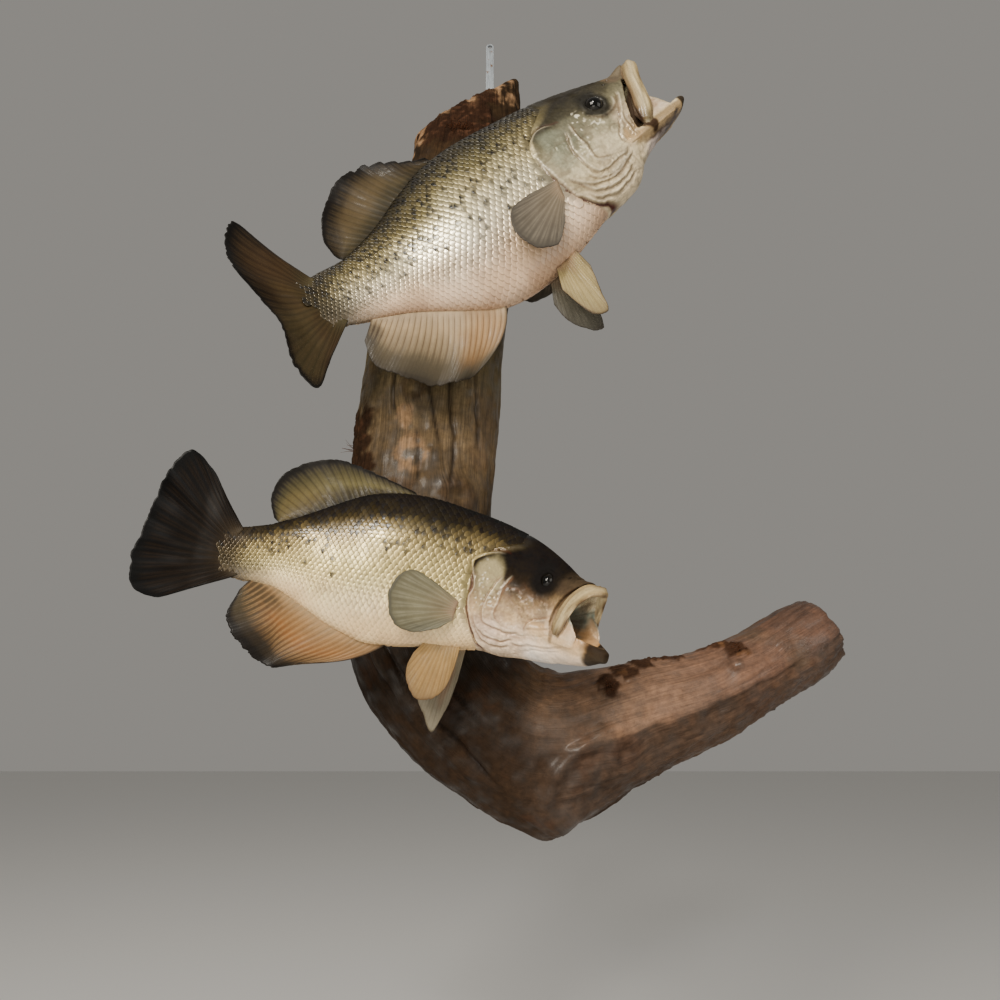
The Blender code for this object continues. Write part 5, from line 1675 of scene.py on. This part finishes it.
def wood_colour(points, on_branch, grains, front, crack_shade, rusty, bark, lower):
    """Colour, gloss and strength of the grain for every point of the wood."""
    x, y, z = points.T
    cloud = rough_noise(points / 34, 3, 421)
    small = rough_noise(points / 7, 3, 422)
    run = grains[1][:, 0] + 14 * cloud
    branch_paint = mix(ramp(run, BRANCH_PAINT), ramp(run, UNDER_PAINT), lower[:, None])
    toward = ease(x + 14 * cloud, 0, 60) * ease(z, -580, -605)
    trunk_paint = mix(ramp(z + 16 * cloud, TRUNK_PAINT), linear(66, 51, 41), toward[:, None])
    past_fork = on_branch * ease(x + 20 * cloud + 0.9 * (z + 610), 20, 84)
    colour = mix(trunk_paint, branch_paint, past_fork[:, None])
    streaks = 0
    for grain, weight in zip(grains, (1 - on_branch, on_branch)):
        wander = wavy(grain)
        fine = 0.6 * noise(wander / (50, 4.2, 1), 423) + 0.5 * noise(wander / (22, 1.8, 1), 424)
        streaks = streaks + weight * fine
    colour = colour * (1 + 0.22 * streaks + 0.28 * cloud + 0.22 * small)[:, None]
    pale = spot_share(points, PALE, 425, 0.3) * front
    strong = mix(0.5, 0.85, ease(z, -260, -160)) * pale
    colour = tinted(colour, strong * ease(streaks + small, -0.6, 0.3), (148, 116, 88))
    red = ease(noise(points / (30, 20, 22), 426) + 0.3 * small, 0.25, 0.7)
    colour = tinted(colour, 0.14 * red, (84, 52, 36))
    moss = ease(noise(points / (26, 20, 20), 427), 0.3, 0.8) * ease(z, -640, -560) * ease(x, 20, 60)
    colour = tinted(colour, 0.3 * moss, (76, 68, 52))
    grit = rough_noise(points / 3.0, 2, 428)
    colour = tinted(colour, 0.9 * rusty, (40, 24, 15))
    colour = tinted(colour, 0.55 * rusty * ease(grit, 0.1, 1.1), (92, 62, 46))
    colour = tinted(colour, 0.9 * bark, (52, 33, 22))
    colour = tinted(colour, 0.4 * bark * ease(small, 0.5, 1.0), (124, 88, 58))
    # painted shade in the cracks
    colour = tinted(colour, 0.8 * crack_shade, (24, 16, 11))
    for gap, size in from_knots(x, z):
        colour = tinted(colour, 0.4 * front * bump(gap - 0.5 * size, 0.25 * size), (50, 33, 23))
    back = ease(y, -3.0, -1.2)
    colour = tinted(colour, 0.6 * back, (128, 98, 68))
    gloss = 0.47 + 0.14 * small + 0.10 * ease(z, -520, -480) + 0.3 * ease(z, -200, -150)
    gloss += 0.17 * ease(z, -560, -600) * ease(x, 60, 10) - 0.10 * ease(x, 190, 220)
    gloss += 0.30 * np.maximum(rusty, bark) + 0.30 * back + 0.10 * lower
    colour = colour * mix(np.array((1, 1, 0.98)), np.array((1, 1.02, 1.06)), ease(x, 0, 60)[:, None])
    fibrous = 1 - 0.65 * ease(z, -575, -605) * ease(x, 96, 60) - 0.25 * ease(x, 60, 96)
    return np.clip(colour, 0.003, 0.9), np.clip(gloss, 0.16, 0.85), fibrous


def wood_finish():
    """Varnish over the wood's paint, with grain along the trunk or the branch."""
    finish = Finish("varnished_driftwood")
    tint = finish.attribute("tint").outputs["Color"]
    lines = []
    for name in ("grain", "grain_branch"):
        where = finish.attribute(name).outputs["Vector"]
        where = finish.add("Mapping", ("Vector", where), Scale=(1 / 30, 1 / 1.3, 1)).outputs["Vector"]
        made = finish.add("TexNoise", ("Vector", where), Scale=1.0, Detail=6.0, Roughness=0.68)
        lines.append(made.outputs["Fac"])
    share = finish.attribute("on_branch").outputs["Fac"]
    grain = finish.add("Mix", (0, share), (2, lines[0]), (3, lines[1])).outputs[0]
    shade = finish.grey(finish.spread(grain, 0.33, 0.67, 0.60, 1.40))
    shaded = finish.times(tint, shade)
    finish.link(finish.attribute("fibrous").outputs["Fac"], shaded.node.inputs[0])
    mottle = finish.grey(finish.spread(finish.noise(5, 8, 0.7), 0.35, 0.65, 0.72, 1.28))
    finish.link(finish.times(shaded, mottle), "Base Color")
    finish.glaze((0.36, 0.62, 0.3, 0), (0.36, 0.7, 0.35, 0.08))
    finish.bump(grain, 0.6)
    finish.value(finish.shader, Coat_Roughness=0.2)
    return finish.surface


# A strand has six rings of three points.
STRAND = 18


def fibre_piece(name, surface, clumps, seed):
    """Loose fibres of bark: thin tapered strands that curve away from the wood."""
    points, faces, colour = [], [], []
    for clump, (at, spread, count, length, lean) in enumerate(clumps):
        key = np.stack([np.arange(count) * 3.7, np.full(count, clump * 5.3), np.full(count, seed)], axis=-1)
        r = [noise(key * 2.17 + 0.37, seed + k) for k in range(7)]
        for i in range(count):
            start = np.array(at) + np.array(spread) * (r[0][i], 0.4 * r[1][i], r[2][i])
            aim = unit(np.array(lean) + 0.9 * np.array((r[3][i], r[4][i], r[5][i])))
            bend = 0.6 * np.array((r[4][i], r[5][i], r[3][i]))
            reach = length * (0.65 + 0.5 * abs(r[6][i]))
            steps = np.linspace(0, 1, 6)
            line = start + reach * (steps[:, None] * aim + (steps**2)[:, None] * bend)
            ahead = unit(np.gradient(line, axis=0))
            side = unit(np.cross(ahead, (0.3, 0.2, 0.9)))
            other = np.cross(ahead, side)
            thick = 0.34 * (1 - 0.8 * steps)
            base = len(points) * STRAND
            ring = [line + thick[:, None] * (math.cos(turn) * side + math.sin(turn) * other)
                    for turn in (0, 2.094, 4.189)]
            points.append(np.stack(ring, axis=1).reshape(-1, 3))
            for k in range(5):
                for c in range(3):
                    a, b = base + 3 * k + c, base + 3 * k + (c + 1) % 3
                    faces += [(a, b, b + 3), (a, b + 3, a + 3)]
            faces += [(base, base + 2, base + 1), (base + 15, base + 16, base + 17)]
            colour.append(np.tile(linear(78, 46, 28) * (1 + 0.5 * r[6][i]), (STRAND, 1)))
    world = np.concatenate(points)
    gloss = np.full(len(world), 0.6)
    paint = np.clip(np.concatenate(colour), 0.01, 0.9)
    values = {"shine": 0 * gloss, "gloss": gloss}
    mesh_object(name, world, np.array(faces), surface, paint, values)


def driftwood_piece(step):
    trunk, branch = Limb(TRUNK, 10), Limb(BRANCH, 4)
    axes = (np.arange(-118, 262, step), np.arange(-92, step * 2, step), np.arange(-704, -44, step))
    field = wood_field(trunk, branch, axes)
    points, quads, normal = surface_net(field, axes)
    raised, on_branch, grains, *marks = wood_detail(points, normal, trunk, branch)
    keep = ease(points[:, 1], -1.0, -4.0)
    shaped = points + normal * (np.clip(raised, -6, 6) * keep)[:, None]
    shaped[:, 1] = np.minimum(shaped[:, 1], WALL_SIDE)
    shaped[:, 0] = np.minimum(shaped[:, 0], RIGHT_END)
    colour, gloss, fibrous = wood_colour(points, on_branch, grains, *marks)
    values = dict(gloss=gloss, fibrous=fibrous, on_branch=on_branch, grain=grains[0], grain_branch=grains[1])
    piece = mesh_object("driftwood_grain", shaped, quads, wood_finish(), colour, values)
    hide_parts("driftwood")


# ---- the pieces ----
def steel_finish(name):
    """Dull zinc-plated steel with fine brushing, speckled wear and a little rust."""
    finish = Finish(name)
    place = finish.add("TexCoord").outputs["Object"]
    lines = finish.add("Mapping", ("Vector", place), Scale=(900, 900, 60)).outputs["Vector"]
    brushed = finish.add("TexNoise", ("Vector", lines), Scale=1.0, Detail=4).outputs["Fac"]
    spots = finish.add("TexNoise", ("Vector", place), Scale=160, Detail=6).outputs["Fac"]
    stain = finish.add("ValToRGB", ("Fac", spots))
    stops = (0.30, (0.16, 0.085, 0.045)), (0.40, (0.30, 0.33, 0.36))
    for element, (at, paint) in zip(stain.color_ramp.elements, stops):
        element.position = at
        element.color = (*paint, 1)
    finish.link(stain.outputs["Color"], "Base Color")
    finish.link(finish.spread(brushed, 0.3, 0.7, 0.30, 0.52), "Roughness")
    finish.bump(brushed, 0.2, 0.25)
    finish.value(finish.shader, Metallic=0.85)
    return finish.surface


eyes = eye_finish()
for fish, name in ((MAIN, "fish"), (SECOND, "second")):
    bone = Backbone(fish)
    points, quads, normal, zone, marks = skin_mesh(fish)
    colour, shine, gloss = skin_colour(fish, points, normal, zone, marks)
    skin = mesh_object(name + "_skin", bone.place(points), quads, varnished(name + "_varnish", 1.4, 0.12),
                       colour, {"shine": shine, "gloss": gloss})
    if fish is MAIN:
        for node in ("head", "trunk", "tail_stem", "upper_jaw", "lower_jaw", "gill_cover_left",
                     "gill_cover_right"):
            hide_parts(node)
    else:
        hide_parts("second_fish")
    girth = Girth(fish)
    surface = varnished(name + "_scales", 0.8, 0.03)
    for side, word in ((-1, "right"), (1, "left")):
        scale_piece(fish, girth, bone, side, name + "_scales_" + word, surface)
        eye_piece(fish, bone, name + "_eye_" + word, side, eyes, ("eye_" + word,) if fish is MAIN else ())
fins_of(MAIN, Backbone(MAIN), "fin_", FIN_STYLES, True)
fins_of(SECOND, Backbone(SECOND), "second_", SECOND_STYLES, False)
driftwood_piece(1.6)
fibre_piece("bark_fibres", varnished("bark_fibre", 0.5, 0.02, 0.1), (
    ((-90, -46, -418), (7, 8, 16), 190, 5.5, (-0.7, -0.8, 0.1)),
    ((-88, -52, -444), (8, 8, 12), 90, 5.0, (-0.5, -0.9, 0.1)),
    ((-24, -61, -148), (20, 4, 10), 120, 3.2, (-0.2, -1.0, 0.1)),
    ((80, -66, -596), (5, 4, 7), 40, 2.6, (0, -1, 0.2)),
    ((166, -56, -570), (9, 4, 4), 40, 2.4, (0, -1, 0.3)),
    ((-94, -46, -428), (2, 3, 8), 7, 16, (-0.9, -0.3, 0.5)),
), 501)
steel = steel_finish("hanger_steel")
for name in ("hanger_strap", "hanger_screw_1", "hanger_screw_2"):
    part = bpy.data.objects[name]
    if not part.material_slots:
        part.data.materials.append(steel)
    for slot in part.material_slots:
        slot.material = steel


# ---- floor, light and camera ----
def area_light(name, location, aim, size, power, colour):
    lamp = bpy.data.lights.new(name, "AREA")
    lamp.size = size
    lamp.energy = power
    lamp.color = colour
    obj = bpy.data.objects.new(name, lamp)
    obj.location = location
    obj.rotation_euler = (Vector(aim) - Vector(location)).to_track_quat("-Z", "Y").to_euler()
    bpy.context.scene.collection.objects.link(obj)


bpy.ops.mesh.primitive_plane_add(size=14, location=(0, 0, -1.0))
floor = bpy.context.object
floor.name = "floor"
floor.data.materials.append(plain_finish("floor_paint", (0.78, 0.78, 0.77), 0.85))

bpy.context.scene.world = bpy.data.worlds.new("studio")
bpy.context.scene.world.use_nodes = True
sky = bpy.context.scene.world.node_tree.nodes["Background"]
sky.inputs["Color"].default_value = (1.0, 0.955, 0.88, 1)
sky.inputs["Strength"].default_value = 0.27
middle = (0.02, -0.08, -0.35)
area_light("key", (-0.75, -1.55, 0.25), middle, 0.8, 36, (1.0, 0.93, 0.82))
area_light("spark", (-0.25, -1.5, 0.6), middle, 0.2, 12, (1.0, 0.95, 0.86))
area_light("fill", (1.3, -1.2, -0.1), middle, 1.0, 8, (1.0, 0.95, 0.88))
area_light("low", (-0.2, -1.4, -0.9), middle, 0.7, 5, (1.0, 0.93, 0.84))

view = bpy.data.cameras.new("camera")
view.lens = 27.04
view.sensor_width = 36
view.clip_start = 0.01
camera = bpy.data.objects.new("camera", view)
camera.location = (0.0096, -0.562, -0.6226)
camera.rotation_euler = (math.radians(107), 0, 0)
bpy.context.scene.collection.objects.link(camera)
bpy.context.scene.camera = camera
